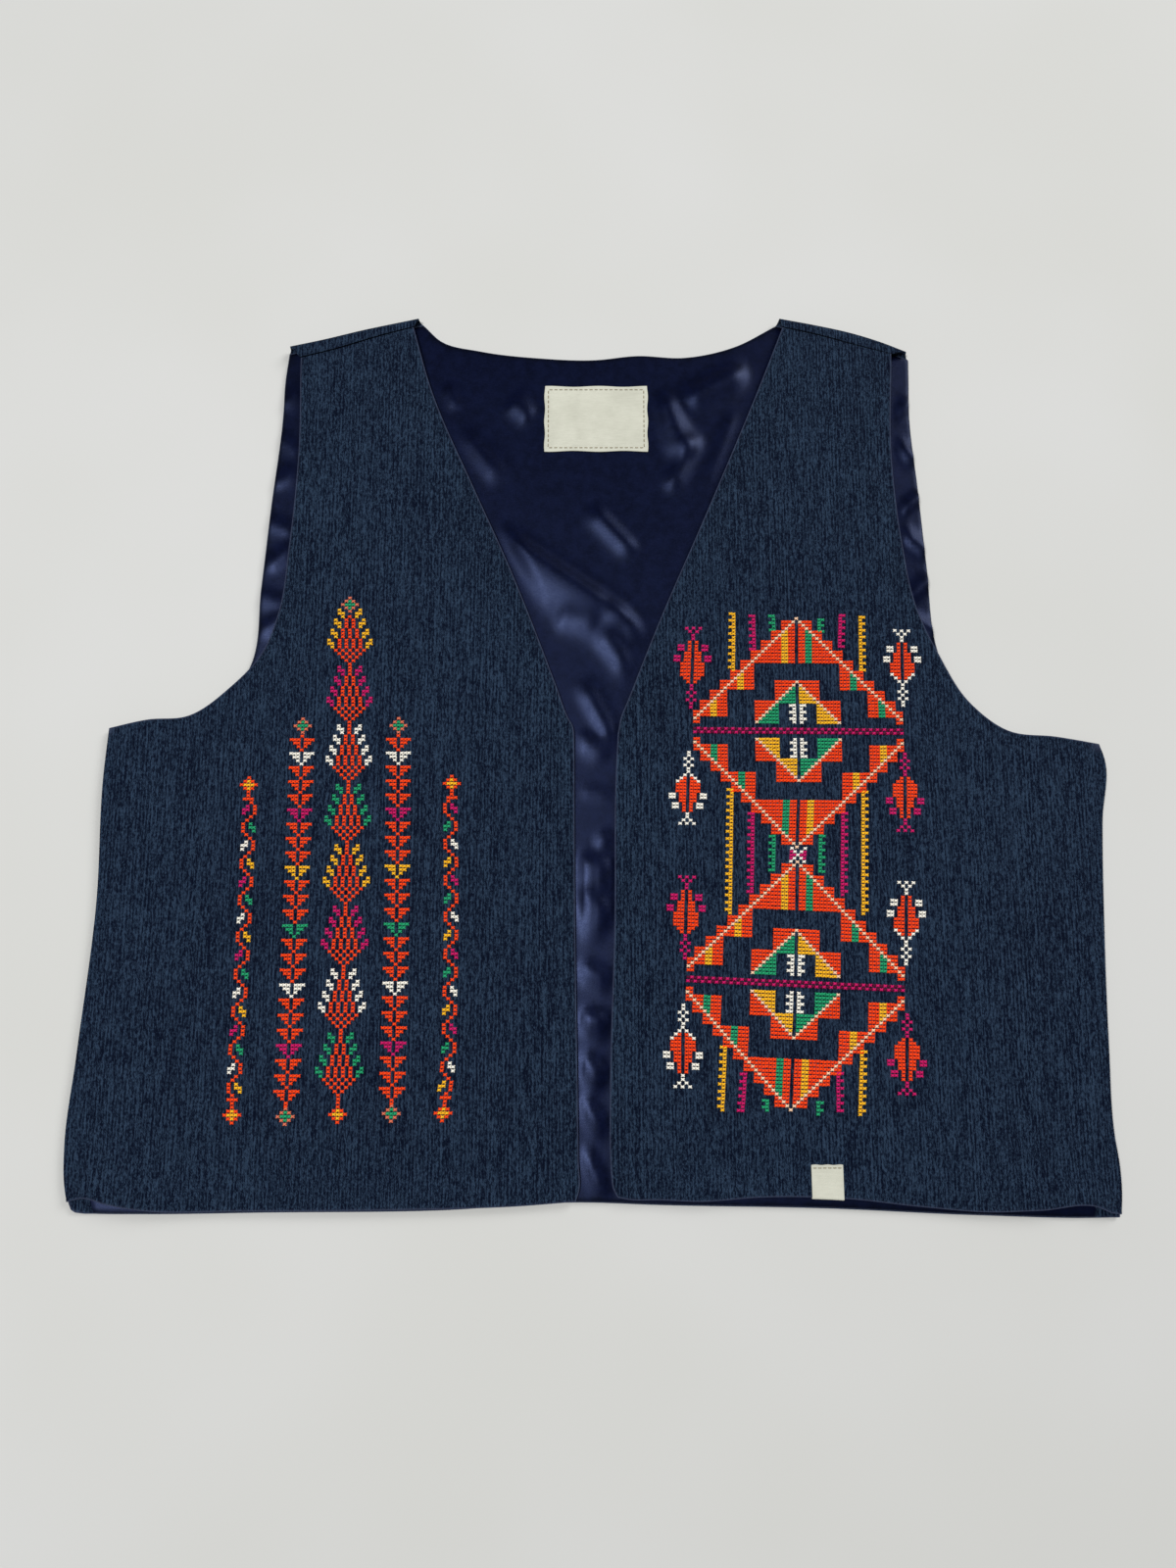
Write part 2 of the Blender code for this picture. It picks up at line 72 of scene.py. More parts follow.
def knots(*pairs):
    """A row of knots from pairs of x and y."""
    return tuple(Knot(*pair) for pair in pairs)


RIGHT_SIDE = knots(
    (-275.7, -245.1), (-277.7, -235.4), (-278.9, -218.5), (-276.2, -172.5), (-271.4, -90.0),
    (-272.6, -20.5), (-271.3, 5.9),
)
LEFT_SIDE = knots(
    (269.4, -251.1), (270.4, -240.5), (270.4, -227.5), (268.8, -211.5), (269.3, -167.5),
    (271.8, -100.5), (275.1, -45.5), (278.6, -10.5), (276.3, -3.1),
)
RIGHT_SHOULDER_SEAM = knots(
    (-173.7, 226.7), (-152.7, 232.3), (-127.8, 240.4), (-108.4, 246.0),
)
RIGHT_SHOULDER_FOLD = knots(
    (-181.1, 235.2), (-161.7, 239.7), (-138.8, 245.7), (-105.8, 253.1),
)
LEFT_SHOULDER_SEAM = knots(
    (108.1, 245.9), (129.8, 240.7), (151.5, 234.3), (171.1, 229.2),
)
LEFT_SHOULDER_FOLD = knots(
    (106.8, 253.1), (126.9, 249.1), (149.8, 243.5), (166.8, 237.6), (180.8, 231.4),
)
BACK_RIGHT_ARMHOLE = knots(
    (-271.3, 5.9), (-247.3, 8.5), (-220.3, 14.5), (-204.3, 25.5), (-195.7, 41.8), (-191.8, 87.8),
    (-188.5, 134.9), (-183.9, 195.5), (-183.7, 213.0),
)
BACK_LEFT_ARMHOLE = knots(
    (276.3, -3.1), (250.7, -0.5), (221.7, 4.5), (202.7, 18.5), (190.2, 53.2), (187.1, 99.4),
    (184.3, 146.9), (181.4, 195.5), (182.0, 213.0),
)
BACK_NECK = knots(
    (-92.8, 240.4), (-69.5, 234.0), (-34.9, 229.6), (-2.3, 228.4), (22.8, 231.1), (50.7, 229.9),
    (80.7, 236.9),
)
BACK_HEM = knots(
    (-274.0, -249.2), (-271.4, -250.8), (-264.0, -251.2), (-236.2, -251.5), (-173.7, -250.7),
    (-82.3, -249.6), (-10.1, -245.7), (32.0, -247.0), (117.0, -248.6), (196.2, -252.0), (264.0, -253.1),
    (269.2, -252.9),
)


def smoothstep(value):
    """0 below 0, 1 above 1, and a soft rise between."""
    share = np.clip(value, 0.0, 1.0)
    return share * share * (3.0 - 2.0 * share)


def smooth_line(knots, steps=14):
    """Points along a smooth curve through the knots."""
    points = np.array(knots, float)
    spans = np.linalg.norm(np.diff(points, axis=0), axis=1)[:, None]
    slopes = np.diff(points, axis=0) / spans
    middle = (slopes[:-1] * spans[1:] + slopes[1:] * spans[:-1]) / (spans[:-1] + spans[1:])
    tangents = np.vstack((slopes[:1], middle, slopes[-1:]))
    t = np.linspace(0.0, 1.0, steps, endpoint=False)[:, None]
    runs = []
    for k, span in enumerate(spans[:, 0]):
        runs.append(
            (2 * t**3 - 3 * t**2 + 1) * points[k]
            + (t**3 - 2 * t**2 + t) * span * tangents[k]
            + (3 * t**2 - 2 * t**3) * points[k + 1]
            + (t**3 - t**2) * span * tangents[k + 1]
        )
    return np.vstack(runs + [points[-1:]])


def bell(distance, width):
    """1 at no distance, falling away softly on both sides."""
    return np.exp(-((distance / width) ** 2))


def line_length(line):
    """The length of a line of points."""
    return float(np.linalg.norm(np.diff(line, axis=0), axis=1).sum())


def along(line, share):
    """The points that lie given shares of the way along a line."""
    steps = np.linalg.norm(np.diff(line, axis=0), axis=1)
    lengths = np.concatenate(([0.0], np.cumsum(steps)))
    place = np.asarray(share) * lengths[-1]
    return np.stack([np.interp(place, lengths, line[:, k]) for k in (0, 1)], axis=-1)


def side_edge(lower, upper):
    """A panel's side: a line up to the underarm, and from there a run above it."""

    def at(v):
        below = along(lower, np.clip(v / WAIST, 0.0, 1.0))
        above = upper(np.clip((v - WAIST) / (1.0 - WAIST), 0.0, 1.0))
        return np.where((np.asarray(v) < WAIST)[..., None], below, above)

    return at


def bend(run, share):
    """How far an edge strays from the straight line between its ends."""
    weight = share[..., None]
    return run(share) - (1.0 - weight) * run(0.0) - weight * run(1.0)


def panel_points(edges, u, v):
    """Points at u across and v up the panel that four edges bound."""
    left, right, bottom, top = edges
    below = np.clip(1.0 - v / WAIST, 0.0, 1.0)[..., None]
    above = np.clip((v - WAIST) / (1.0 - WAIST), 0.0, 1.0)[..., None]
    straight = (1.0 - u[..., None]) * left(v) + u[..., None] * right(v)
    return straight + below**2 * bend(bottom, u) + above**2 * bend(top, u)


def rim_spaced(length, count):
    """Distances along a length, close together at both ends and even between."""
    inner = np.linspace(RIM_STEPS[-1], length - RIM_STEPS[-1], count)
    return np.concatenate((RIM_STEPS[:-1], inner, length - RIM_STEPS[-2::-1]))


def panel_rows(side, armhole):
    """The shares of a panel's rows, which are close together at the hem and the shoulder."""
    body = rim_spaced(side, int(side / CELL))[: -len(RIM_STEPS)] / side * WAIST
    chest = rim_spaced(armhole, int(armhole / CELL))[len(RIM_STEPS) :] / armhole
    return np.concatenate((body, [WAIST], WAIST + (1.0 - WAIST) * chest))


def panel_grid(edges, rows, columns):
    """The shares across and up of a panel's grid, its columns close together at its sides."""
    widths = np.linalg.norm(edges[1](rows) - edges[0](rows), axis=1)
    across = np.stack([rim_spaced(width, columns) / width for width in widths])
    return across, np.repeat(rows[:, None], across.shape[1], axis=1)


def grid_faces(rows, columns, first=0):
    """The four-sided faces of a grid of points."""
    corner = (np.arange(rows * columns).reshape(rows, columns)[:-1, :-1]).ravel() + first
    return np.stack((corner, corner + 1, corner + columns + 1, corner + columns), axis=1)


def distance_to(points, line):
    """How far each point is from a line."""
    nearest = np.full(len(points), np.inf)
    for start, end in zip(line[:-1], line[1:]):
        run = end - start
        share = np.clip((points - start) @ run / max(run @ run, 1e-9), 0.0, 1.0)
        nearest = np.minimum(nearest, np.linalg.norm(points - start - share[:, None] * run, axis=1))
    return nearest


def outline_of(edges, steps=160):
    """A panel's outline, once round."""
    share = np.linspace(0.0, 1.0, steps)
    left, right, bottom, top = (run(share) for run in edges)
    return np.vstack((bottom, right, top[::-1], left[::-1]))


def flat_area(line):
    """The area inside a closed line, in square metres."""
    x, y = line[:, 0], line[:, 1]
    return abs(float(x @ np.roll(y, -1) - y @ np.roll(x, -1))) / 2 * MM * MM


def add_object(name, data):
    """A new object in the scene."""
    made = bpy.data.objects.new(name, data)
    bpy.context.scene.collection.objects.link(made)
    return made


def stand_for(piece, node):
    """What the frame is told of a cloth piece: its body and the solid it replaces."""
    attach(piece, "root")
    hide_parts(node)


def make_cloth(name, points, faces, wall, side, materials, rim):
    """A cloth piece from one face of it. Side 1 puts the wall above that face, and -1 below."""
    mesh = bpy.data.meshes.new(name)
    mesh.from_pydata((points * MM).tolist(), [], faces.tolist())
    mesh.attributes.new("rim", "FLOAT", "POINT").data.foreach_set("value", rim.astype(np.float32))
    shape = bmesh.new()
    shape.from_mesh(mesh)
    bmesh.ops.remove_doubles(shape, verts=shape.verts[:], dist=0.02 * MM)
    shape.to_mesh(mesh)
    shape.free()
    mesh.shade_smooth()
    for material in materials:
        mesh.materials.append(material)
    piece = add_object(name, mesh)
    thickness = piece.modifiers.new("Cloth wall", "SOLIDIFY")
    thickness.thickness = wall * MM
    thickness.offset = side
    thickness.use_even_offset = True
    thickness.use_quality_normals = True
    thickness.material_offset = len(materials) - 1
    soft = piece.modifiers.new("Turned edge", "BEVEL")
    soft.width = 0.4 * wall * MM
    soft.segments = 3
    soft.limit_method = "ANGLE"
    soft.angle_limit = math.radians(55)
    return piece


def screen_colour(red, green, blue):
    """A colour as a screen shows it, 0 to 255, in the linear values that shaders take."""
    return tuple((value / 255) ** 2.2 for value in (red, green, blue)) + (1.0,)


def new_group(name, inputs):
    """A shader node group that puts out a cloth's values, and its two end nodes."""
    group = bpy.data.node_groups.new(name, "ShaderNodeTree")
    for label, kind in inputs:
        group.interface.new_socket(name=label, in_out="INPUT", socket_type="NodeSocket" + kind)
    for label, kind in (("Color", "Color"), ("Roughness", "Float"), ("Height", "Float")):
        group.interface.new_socket(name=label, in_out="OUTPUT", socket_type="NodeSocket" + kind)
    return group, group.nodes.new("NodeGroupInput"), group.nodes.new("NodeGroupOutput")


def put_out(group, made, colour, height, rough, base):
    """Links a cloth's colour and height, and its roughness above a base value."""
    raised = group.nodes.new("ShaderNodeMath")
    raised.operation = "ADD"
    raised.inputs[1].default_value = base
    group.links.new(rough, raised.inputs[0])
    group.links.new(colour, made.inputs["Color"])
    group.links.new(raised.outputs["Value"], made.inputs["Roughness"])
    group.links.new(height, made.inputs["Height"])
    return group


def cloth_noise(tree, scale, detail=3.0, roughness=0.6):
    """Noise over the cloth, with a scale along each axis in cells for each millimetre."""
    place = tree.nodes.new("ShaderNodeTexCoord")
    stretch = tree.nodes.new("ShaderNodeMapping")
    noise = tree.nodes.new("ShaderNodeTexNoise")
    stretch.inputs["Scale"].default_value = [value / MM for value in scale]
    noise.inputs["Scale"].default_value = 1.0
    noise.inputs["Detail"].default_value = detail
    noise.inputs["Roughness"].default_value = roughness
    tree.links.new(place.outputs["Object"], stretch.inputs["Vector"])
    tree.links.new(stretch.outputs["Vector"], noise.inputs["Vector"])
    return noise.outputs["Fac"]


def cloth_wave(tree, direction, period, distortion):
    """Even bands over the cloth, such as yarns, with a period in millimetres."""
    turn = {"X": 20.0, "Y": 20.0, "DIAGONAL": 10.0}[direction]
    place = tree.nodes.new("ShaderNodeTexCoord")
    stretch = tree.nodes.new("ShaderNodeMapping")
    wave = tree.nodes.new("ShaderNodeTexWave")
    stretch.inputs["Scale"].default_value = (1 / MM, 1 / MM, 1 / MM)
    wave.bands_direction = direction
    wave.inputs["Scale"].default_value = 2 * math.pi / (turn * period)
    wave.inputs["Distortion"].default_value = distortion
    wave.inputs["Detail"].default_value = 2.0
    tree.links.new(place.outputs["Object"], stretch.inputs["Vector"])
    tree.links.new(stretch.outputs["Vector"], wave.inputs["Vector"])
    return wave.outputs["Fac"]


def between(tree, value, low, high):
    """A value made 0 below one limit and 1 above another."""
    node = tree.nodes.new("ShaderNodeMapRange")
    node.interpolation_type = "SMOOTHSTEP"
    node.inputs["From Min"].default_value = low
    node.inputs["From Max"].default_value = high
    tree.links.new(value, node.inputs["Value"])
    return node.outputs["Result"]


def weighed(tree, *pairs):
    """The sum of values, each times its weight."""
    total = None
    for value, weight in pairs:
        node = tree.nodes.new("ShaderNodeMath")
        node.operation = "MULTIPLY_ADD"
        node.inputs[1].default_value = weight
        node.inputs[2].default_value = 0.0
        tree.links.new(value, node.inputs[0])
        if total is not None:
            tree.links.new(total, node.inputs[2])
        total = node.outputs["Value"]
    return total


def blended(tree, share, first, second):
    """A colour between two others, by a share."""
    mix = tree.nodes.new("ShaderNodeMix")
    mix.data_type = "RGBA"
    tree.links.new(share, mix.inputs["Factor"])
    tree.links.new(first, mix.inputs["A"])
    tree.links.new(second, mix.inputs["B"])
    return mix.outputs["Result"]


def twill_group():
    """Indigo twill: uneven warp yarns, a fine diagonal rib, pale flecks, and a painted highlight: a paler
    line along the turned edge.
    """
    group, given, made = new_group(
        "indigo_twill",
        (("Dark yarn", "Color"), ("Light yarn", "Color"), ("Edge highlight", "Color"), ("Rim", "Float")),
    )
    slubs = between(group, cloth_noise(group, (0.85, 0.025, 0.4), 4.0, 0.7), 0.42, 0.60)
    yarns = between(group, cloth_noise(group, (1.25, 0.12, 1.0), 2.0), 0.42, 0.58)
    rib = cloth_wave(group, "DIAGONAL", 1.25, 2.0)
    warp = cloth_wave(group, "X", 1.9, 0.8)
    flecks = between(group, cloth_noise(group, (1.5, 0.9, 1.0), 1.0), 0.50, 0.58)
    pits = between(group, cloth_noise(group, (1.4, 0.35, 1.2), 1.0), 0.45, 0.54)
    fade = cloth_noise(group, (0.014, 0.011, 0.01), 2.0)
    share = weighed(
        group,
        (slubs, 0.26),
        (yarns, 0.26),
        (rib, 0.12),
        (warp, 0.24),
        (flecks, 0.34),
        (pits, -0.36),
        (fade, 0.20),
    )
    share = between(group, share, 0.07, 1.10)
    cloth = blended(group, share, given.outputs["Dark yarn"], given.outputs["Light yarn"])
    # The rim blends the cloth towards the Edge colour: a painted highlight along the turned edge.
    turned = weighed(group, (given.outputs["Rim"], 0.85))
    colour = blended(group, turned, cloth, given.outputs["Edge highlight"])
    height = weighed(group, (rib, 0.45), (warp, 0.25), (yarns, 0.4), (flecks, 0.4), (slubs, 0.25))
    rough = weighed(group, (slubs, 0.08), (fade, 0.1))
    return put_out(group, made, colour, height, rough, 0.72)


def new_material(name, group, colours, bump, distance, settings, values=()):
    """A Principled material that takes its colour, roughness and bump from a group."""
    material = bpy.data.materials.new(name)
    material.use_nodes = True
    tree = material.node_tree
    shader = tree.nodes["Principled BSDF"]
    weave = tree.nodes.new("ShaderNodeGroup")
    weave.node_tree = group
    for label, colour in colours.items():
        weave.inputs[label].default_value = colour
    for label, attribute in values:
        source = tree.nodes.new("ShaderNodeAttribute")
        source.attribute_name = attribute
        tree.links.new(source.outputs["Fac"], weave.inputs[label])
    relief = tree.nodes.new("ShaderNodeBump")
    relief.inputs["Strength"].default_value = bump
    relief.inputs["Distance"].default_value = distance * MM
    tree.links.new(weave.outputs["Height"], relief.inputs["Height"])
    tree.links.new(relief.outputs["Normal"], shader.inputs["Normal"])
    tree.links.new(weave.outputs["Color"], shader.inputs["Base Color"])
    tree.links.new(weave.outputs["Roughness"], shader.inputs["Roughness"])
    for label, value in settings.items():
        shader.inputs[label].default_value = value
    return material


DENIM = new_material(
    "indigo_denim",
    twill_group(),
    {
        "Dark yarn": screen_colour(0, 15, 32),
        "Light yarn": screen_colour(46, 61, 80),
        # The Edge colour is a painted highlight along the cloth's edges.
        "Edge highlight": screen_colour(62, 68, 88),
    },
    0.7,
    0.22,
    {"Specular IOR Level": 0.06, "Sheen Weight": 0.02, "Sheen Roughness": 0.5},
    (("Rim", "rim"),),
)

right_side = smooth_line(RIGHT_SIDE)
left_side = smooth_line(LEFT_SIDE)
right_seam = smooth_line(RIGHT_SHOULDER_SEAM)
left_seam = smooth_line(LEFT_SHOULDER_SEAM)
right_fold = smooth_line(RIGHT_SHOULDER_FOLD)
left_fold = smooth_line(LEFT_SHOULDER_FOLD)


def side_share(x, y):
    """1 at a side seam and 0 from SIDE_REACH inside it."""
    right = np.interp(y, right_side[:, 1], right_side[:, 0])
    left = np.interp(y, left_side[:, 1], left_side[:, 0])
    return smoothstep(1.0 - np.minimum(x - right, left - x) / SIDE_REACH)


def fold_place(fold, seam, share):
    """Points on a shoulder fold, with the unit steps over it to the seam and those below it."""
    outer = along(fold, share)
    over = along(seam, share) - outer
    over = over / np.linalg.norm(over, axis=-1, keepdims=True)
    ahead, behind = np.minimum(share + FOLD_STEP, 1.0), np.maximum(share - FOLD_STEP, 0.0)
    run = along(fold, ahead) - along(fold, behind)
    run = run / np.linalg.norm(run, axis=-1, keepdims=True)
    return outer, over, over - 2 * (over * run).sum(axis=-1, keepdims=True) * run


def fold_foot(fold, seam, share):
    """Where the back leaves the table to roll over a shoulder fold."""
    outer, _, under = fold_place(fold, seam, share)
    return outer + FOLD_RADIUS * under


def roll_points(fold, seam, share):
    """The roll over a shoulder fold: rows of an arc, and then the last step to the seam."""
    outer, over, under = fold_place(fold, seam, share)
    rows = []
    for turn in np.linspace(0.0, 1.0, ARC_STEPS + 1):
        inward = over if turn > 0.5 else under
        plane = outer + FOLD_RADIUS * (1.0 - math.sin(math.pi * turn)) * inward
        height = np.full(len(share), FOLD_RADIUS * (1.0 - math.cos(math.pi * turn)))
        rows.append(np.column_stack((plane, height)))
    edge = along(seam, share) - SEAM_GROOVE * over
    flat = rows[-1][:, :2]
    for step in (0.4, 0.8, 1.0):
        top = np.full(len(share), SHOULDER_TOP)
        rows.append(np.column_stack((flat + step * (edge - flat), top)))
    return np.stack(rows)


def top_edge(right, neck, left):
    """The back's top: a shoulder, the neck and the other shoulder, each over its own share."""

    def at(u):
        place = np.asarray(u, float)
        first = right(np.clip(place / NECK_START, 0.0, 1.0))
        middle = neck(np.clip((place - NECK_START) / (1.0 - 2 * NECK_START), 0.0, 1.0))
        last = left(np.clip((place - 1.0 + NECK_START) / NECK_START, 0.0, 1.0))
        inner = np.where((place > 1.0 - NECK_START)[..., None], last, middle)
        return np.where((place < NECK_START)[..., None], first, inner)

    return at


def back_edges():
    """The back's edges: side to armhole on each side, hem, and shoulders to neck on top."""
    right_foot = partial(fold_foot, right_fold, right_seam)
    left_foot = partial(fold_foot, left_fold, left_seam)
    right = smooth_line((BACK_HEM[0],) + RIGHT_SIDE)
    left = smooth_line((BACK_HEM[-1],) + LEFT_SIDE)
    right_armhole = smooth_line(BACK_RIGHT_ARMHOLE + (Knot(*right_foot(0.0)),))
    left_armhole = smooth_line(BACK_LEFT_ARMHOLE + (Knot(*left_foot(1.0)),))
    neck = smooth_line((Knot(*right_foot(1.0)),) + BACK_NECK + (Knot(*left_foot(0.0)),))
    return (
        side_edge(right, partial(along, right_armhole)),
        side_edge(left, partial(along, left_armhole)),
        partial(along, smooth_line(BACK_HEM)),
        top_edge(right_foot, partial(along, neck), left_foot),
    )


def make_back(edges):
    """The back with its two shoulder rolls, which start from its own top points."""
    near = RIM_STEPS / (BACK_HEM[-1].x - BACK_HEM[0].x)
    shoulder = np.concatenate((near[:-1], np.linspace(near[-1], NECK_START, SHOULDER_COLUMNS)))
    neck = np.linspace(NECK_START, 1.0 - NECK_START, NECK_COLUMNS)[1:-1]
    columns = np.concatenate((shoulder, neck, 1.0 - shoulder[::-1]))
    rows = panel_rows(line_length(right_side), line_length(smooth_line(BACK_RIGHT_ARMHOLE)))
    u, v = np.meshgrid(columns, rows)
    plan = panel_points(edges, u, v)
    x, y = plan[..., 0], plan[..., 1]
    points = [np.stack((x, y, SIDE_CURL * side_share(x, y)), axis=-1).reshape(-1, 3)]
    faces = [grid_faces(*u.shape)]
    count = u.size
    from_armhole = shoulder / NECK_START
    for fold, seam, shares in (
        (right_fold, right_seam, from_armhole),
        (left_fold, left_seam, 1.0 - from_armhole[::-1]),
    ):
        roll = roll_points(fold, seam, shares)
        points.append(roll.reshape(-1, 3))
        faces.append(grid_faces(roll.shape[0], roll.shape[1], count))
        count += roll.shape[0] * roll.shape[1]
    points = np.vstack(points)
    # The rim is a thin band along the back's edges, which the denim paints as a highlight.
    rim = bell(distance_to(points[:, :2], outline_of(edges)), 0.6)
    rim[points[:, 2] > BACK_WALL] = 0.0
    return make_cloth("back_denim", points, np.vstack(faces), BACK_WALL, 1, (DENIM,), rim)


back_panel = back_edges()
back = make_back(back_panel)
stand_for(back, "back")
roll_area = (line_length(right_fold) + line_length(left_fold)) * math.pi * FOLD_RADIUS * MM * MM
flat_area(outline_of(back_panel)) + roll_area

# The lining of the back is navy satin, turned in just inside the back's hem, neck and armholes
# and 13 mm inside its side seams, which the fronts cover. It is slack, so it lies in soft
# folds where it shows: in the V of the neck, down the gap and in a strip at each armhole.
LINING_WALL = 0.7
LINING_TOP = 2.5
LINING_INSET = 0.8
LINING_SIDE_INSET = 13.0
LINING_ROWS = 210
LINING_SPANS = ((0.0, 0.06, 12), (0.06, 0.22, 14), (0.22, 0.78, 110), (0.78, 0.94, 14), (0.94, 1.0, 12))
LABEL_CORNER = Knot(-31.3, 170.1)
LABEL_SIZE = Knot(60.0, 40.6)

RIGHT_CENTRE = knots(
    (-12.4, -244.8), (-10.7, -240.0), (-10.9, -225.0), (-11.4, -192.5), (-13.1, -87.5), (-13.6, 1.5),
)
RIGHT_NECK = knots(
    (-13.6, 1.5), (-14.4, 6.5), (-17.4, 12.4), (-24.0, 30.5), (-49.3, 96.2), (-71.1, 145.7),
    (-97.9, 209.3), (-108.4, 246.0),
)
LEFT_CENTRE = knots(
    (9.4, -242.7), (7.0, -238.6), (6.1, -232.5), (5.5, -222.0), (5.5, -192.5), (8.3, -100.5),
    (9.3, -20.5), (10.5, 2.6),
)
LEFT_NECK = knots(
    (10.5, 2.6), (12.3, 12.0), (15.6, 20.2), (33.9, 66.7), (58.7, 124.5), (79.7, 174.8), (97.5, 218.6),
    (108.1, 245.9),
)

# Folds of the satin: the crest's two ends, how far it falls on each side of that line as one
# looks along it, and its height.
Fold = namedtuple("Fold", "x0 y0 x1 y1 left right height")
NECK_FOLDS = (
    Fold(-58.0, 121.0, 10.0, 74.0, 5.0, 17.0, 3.3),
    Fold(8.0, 76.0, 32.0, 52.0, 5.0, 9.0, 1.9),
    Fold(-22.0, 71.0, -2.0, 66.0, 7.0, 7.0, 1.0),
    Fold(2.0, 62.0, 22.0, 34.0, 6.0, 7.0, 1.7),
    Fold(-80.0, 180.0, -56.0, 156.0, 6.0, 9.0, 1.6),
    Fold(-2.0, 134.0, 20.0, 110.0, 4.0, 7.0, 2.0),
    Fold(42.0, 148.0, 56.0, 178.0, 6.0, 5.0, 2.1),
    Fold(52.0, 202.0, 84.0, 220.0, 7.0, 9.0, 3.2),
    Fold(80.0, 192.0, 64.0, 150.0, 6.0, 4.0, 1.8),
    Fold(38.0, 204.0, 50.0, 170.0, 7.0, 9.0, 3.0),
    Fold(-90.0, 210.0, -84.0, 198.0, 5.0, 6.0, 1.4),
    Fold(-50.0, 202.0, -38.0, 192.0, 7.0, 7.0, 2.0),
)
GAP_FOLDS = (
    Fold(-8.0, 30.0, 9.0, -2.0, 5.0, 5.0, 1.3),
    Fold(-11.0, 2.0, 4.0, -8.0, 4.0, 7.0, 1.1),
    Fold(-9.0, -29.0, 8.0, -31.0, 3.0, 4.0, 0.5),
    Fold(0.0, -54.0, 9.0, -56.0, 3.0, 8.0, 1.1),
    Fold(-12.0, -68.0, 9.0, -72.0, 5.0, 24.0, 2.0),
    Fold(-11.0, -84.0, 8.0, -98.0, 4.0, 14.0, 1.4),
    Fold(-11.0, -124.0, 8.0, -132.0, 4.0, 7.0, 1.4),
    Fold(-11.0, -150.0, 8.0, -154.0, 4.0, 9.0, 2.0),
    Fold(-12.0, -172.0, 4.0, -182.0, 5.0, 9.0, 1.9),
    Fold(-10.0, -192.0, 5.0, -210.0, 3.0, 6.0, 1.6),
    Fold(-9.0, -218.0, 4.0, -240.0, 3.0, 5.0, 1.4),
)
ARMHOLE_FOLDS = (
    Fold(-190.0, 62.0, -176.0, 72.0, 4.0, 5.0, 1.0),
    Fold(-192.0, 84.0, -178.0, 78.0, 4.0, 6.0, 0.8),
    Fold(-188.0, 100.0, -174.0, 112.0, 5.0, 4.0, 1.1),
    Fold(-190.0, 128.0, -176.0, 122.0, 4.0, 5.0, 0.9),
    Fold(-187.0, 150.0, -172.0, 158.0, 6.0, 4.0, 1.0),
    Fold(-186.0, 180.0, -173.0, 170.0, 4.0, 5.0, 0.8),
    Fold(-185.0, 200.0, -172.0, 208.0, 5.0, 5.0, 0.9),
    Fold(192.0, 60.0, 176.0, 70.0, 4.0, 4.0, 1.9),
    Fold(190.0, 94.0, 174.0, 80.0, 4.0, 5.0, 2.2),
    Fold(188.0, 108.0, 172.0, 122.0, 4.0, 5.0, 1.8),
    Fold(187.0, 144.0, 171.0, 132.0, 4.0, 4.0, 2.0),
    Fold(184.0, 164.0, 170.0, 178.0, 5.0, 4.0, 1.8),
    Fold(183.0, 202.0, 170.0, 190.0, 4.0, 5.0, 1.5),
)

right_opening = np.vstack((smooth_line(RIGHT_CENTRE), smooth_line(RIGHT_NECK)))
left_opening = np.vstack((smooth_line(LEFT_CENTRE), smooth_line(LEFT_NECK)))


def fold_height(fold, x, y):
    """The height that one fold adds, fading out past its ends."""
    run = np.array((fold.x1 - fold.x0, fold.y1 - fold.y0))
    length = np.linalg.norm(run)
    share = ((x - fold.x0) * run[0] + (y - fold.y0) * run[1]) / length**2
    aside = (run[0] * (y - fold.y0) - run[1] * (x - fold.x0)) / length
    ends = smoothstep(0.5 + 2.5 * share) * smoothstep(3.0 - 2.5 * share)
    reach = np.where(aside > 0, fold.left, fold.right)
    return fold.height * ends * bell(aside, reach)


def inside_opening(x, y):
    """How far inside the opening between the fronts a point lies."""
    right = np.interp(y, right_opening[:, 1], right_opening[:, 0])
    left = np.interp(y, left_opening[:, 1], left_opening[:, 0])
    return np.minimum(x - right, left - x)


def by_label(x, y):
    """How far outside the neck label a point lies."""
    away_x = np.maximum(abs(x - LABEL_CORNER.x - LABEL_SIZE.x / 2) - LABEL_SIZE.x / 2, 0.0)
    away_y = np.maximum(abs(y - LABEL_CORNER.y - LABEL_SIZE.y / 2) - LABEL_SIZE.y / 2, 0.0)
    return np.hypot(away_x, away_y)


def lining_top(x, y):
    """The height of the satin's upper face."""
    opening = inside_opening(x, y)
    neck = sum(fold_height(fold, x, y) for fold in NECK_FOLDS)
    neck = neck * smoothstep((opening - 1.0) / 14.0) * (0.1 + 0.9 * smoothstep(by_label(x, y) / 12.0))
    gap = sum(fold_height(fold, x, y) for fold in GAP_FOLDS)
    gap = gap * smoothstep((opening - 0.5) / 6.0)
    strips = sum(fold_height(fold, x, y) for fold in ARMHOLE_FOLDS)
    strips = strips * smoothstep((abs(x) - 172.0) / 6.0)
    return LINING_TOP + neck + gap + strips


def satin_group():
    """Satin: long floats that run across, fine uneven threads, a faint mottle, and painted shade that
    darkens it along its edges.
    """
    group, given, made = new_group(
        "navy_satin_weave", (("Dark", "Color"), ("Light", "Color"), ("Rim", "Float"))
    )
    floats = cloth_noise(group, (0.7, 2.6, 1.0), 3.0)
    mottle = between(group, cloth_noise(group, (0.16, 0.16, 0.1), 3.0, 0.7), 0.25, 0.75)
    threads = cloth_wave(group, "Y", 0.5, 1.5)
    # The rim takes the share down: painted shade where the satin's edges tuck under the denim.
    share = weighed(group, (floats, 0.5), (mottle, 0.4), (given.outputs["Rim"], -0.6))
    colour = blended(group, share, given.outputs["Dark"], given.outputs["Light"])
    height = weighed(group, (floats, 0.7), (threads, 0.25))
    rough = weighed(group, (floats, 0.16), (mottle, 0.06))
    return put_out(group, made, colour, height, rough, 0.25)


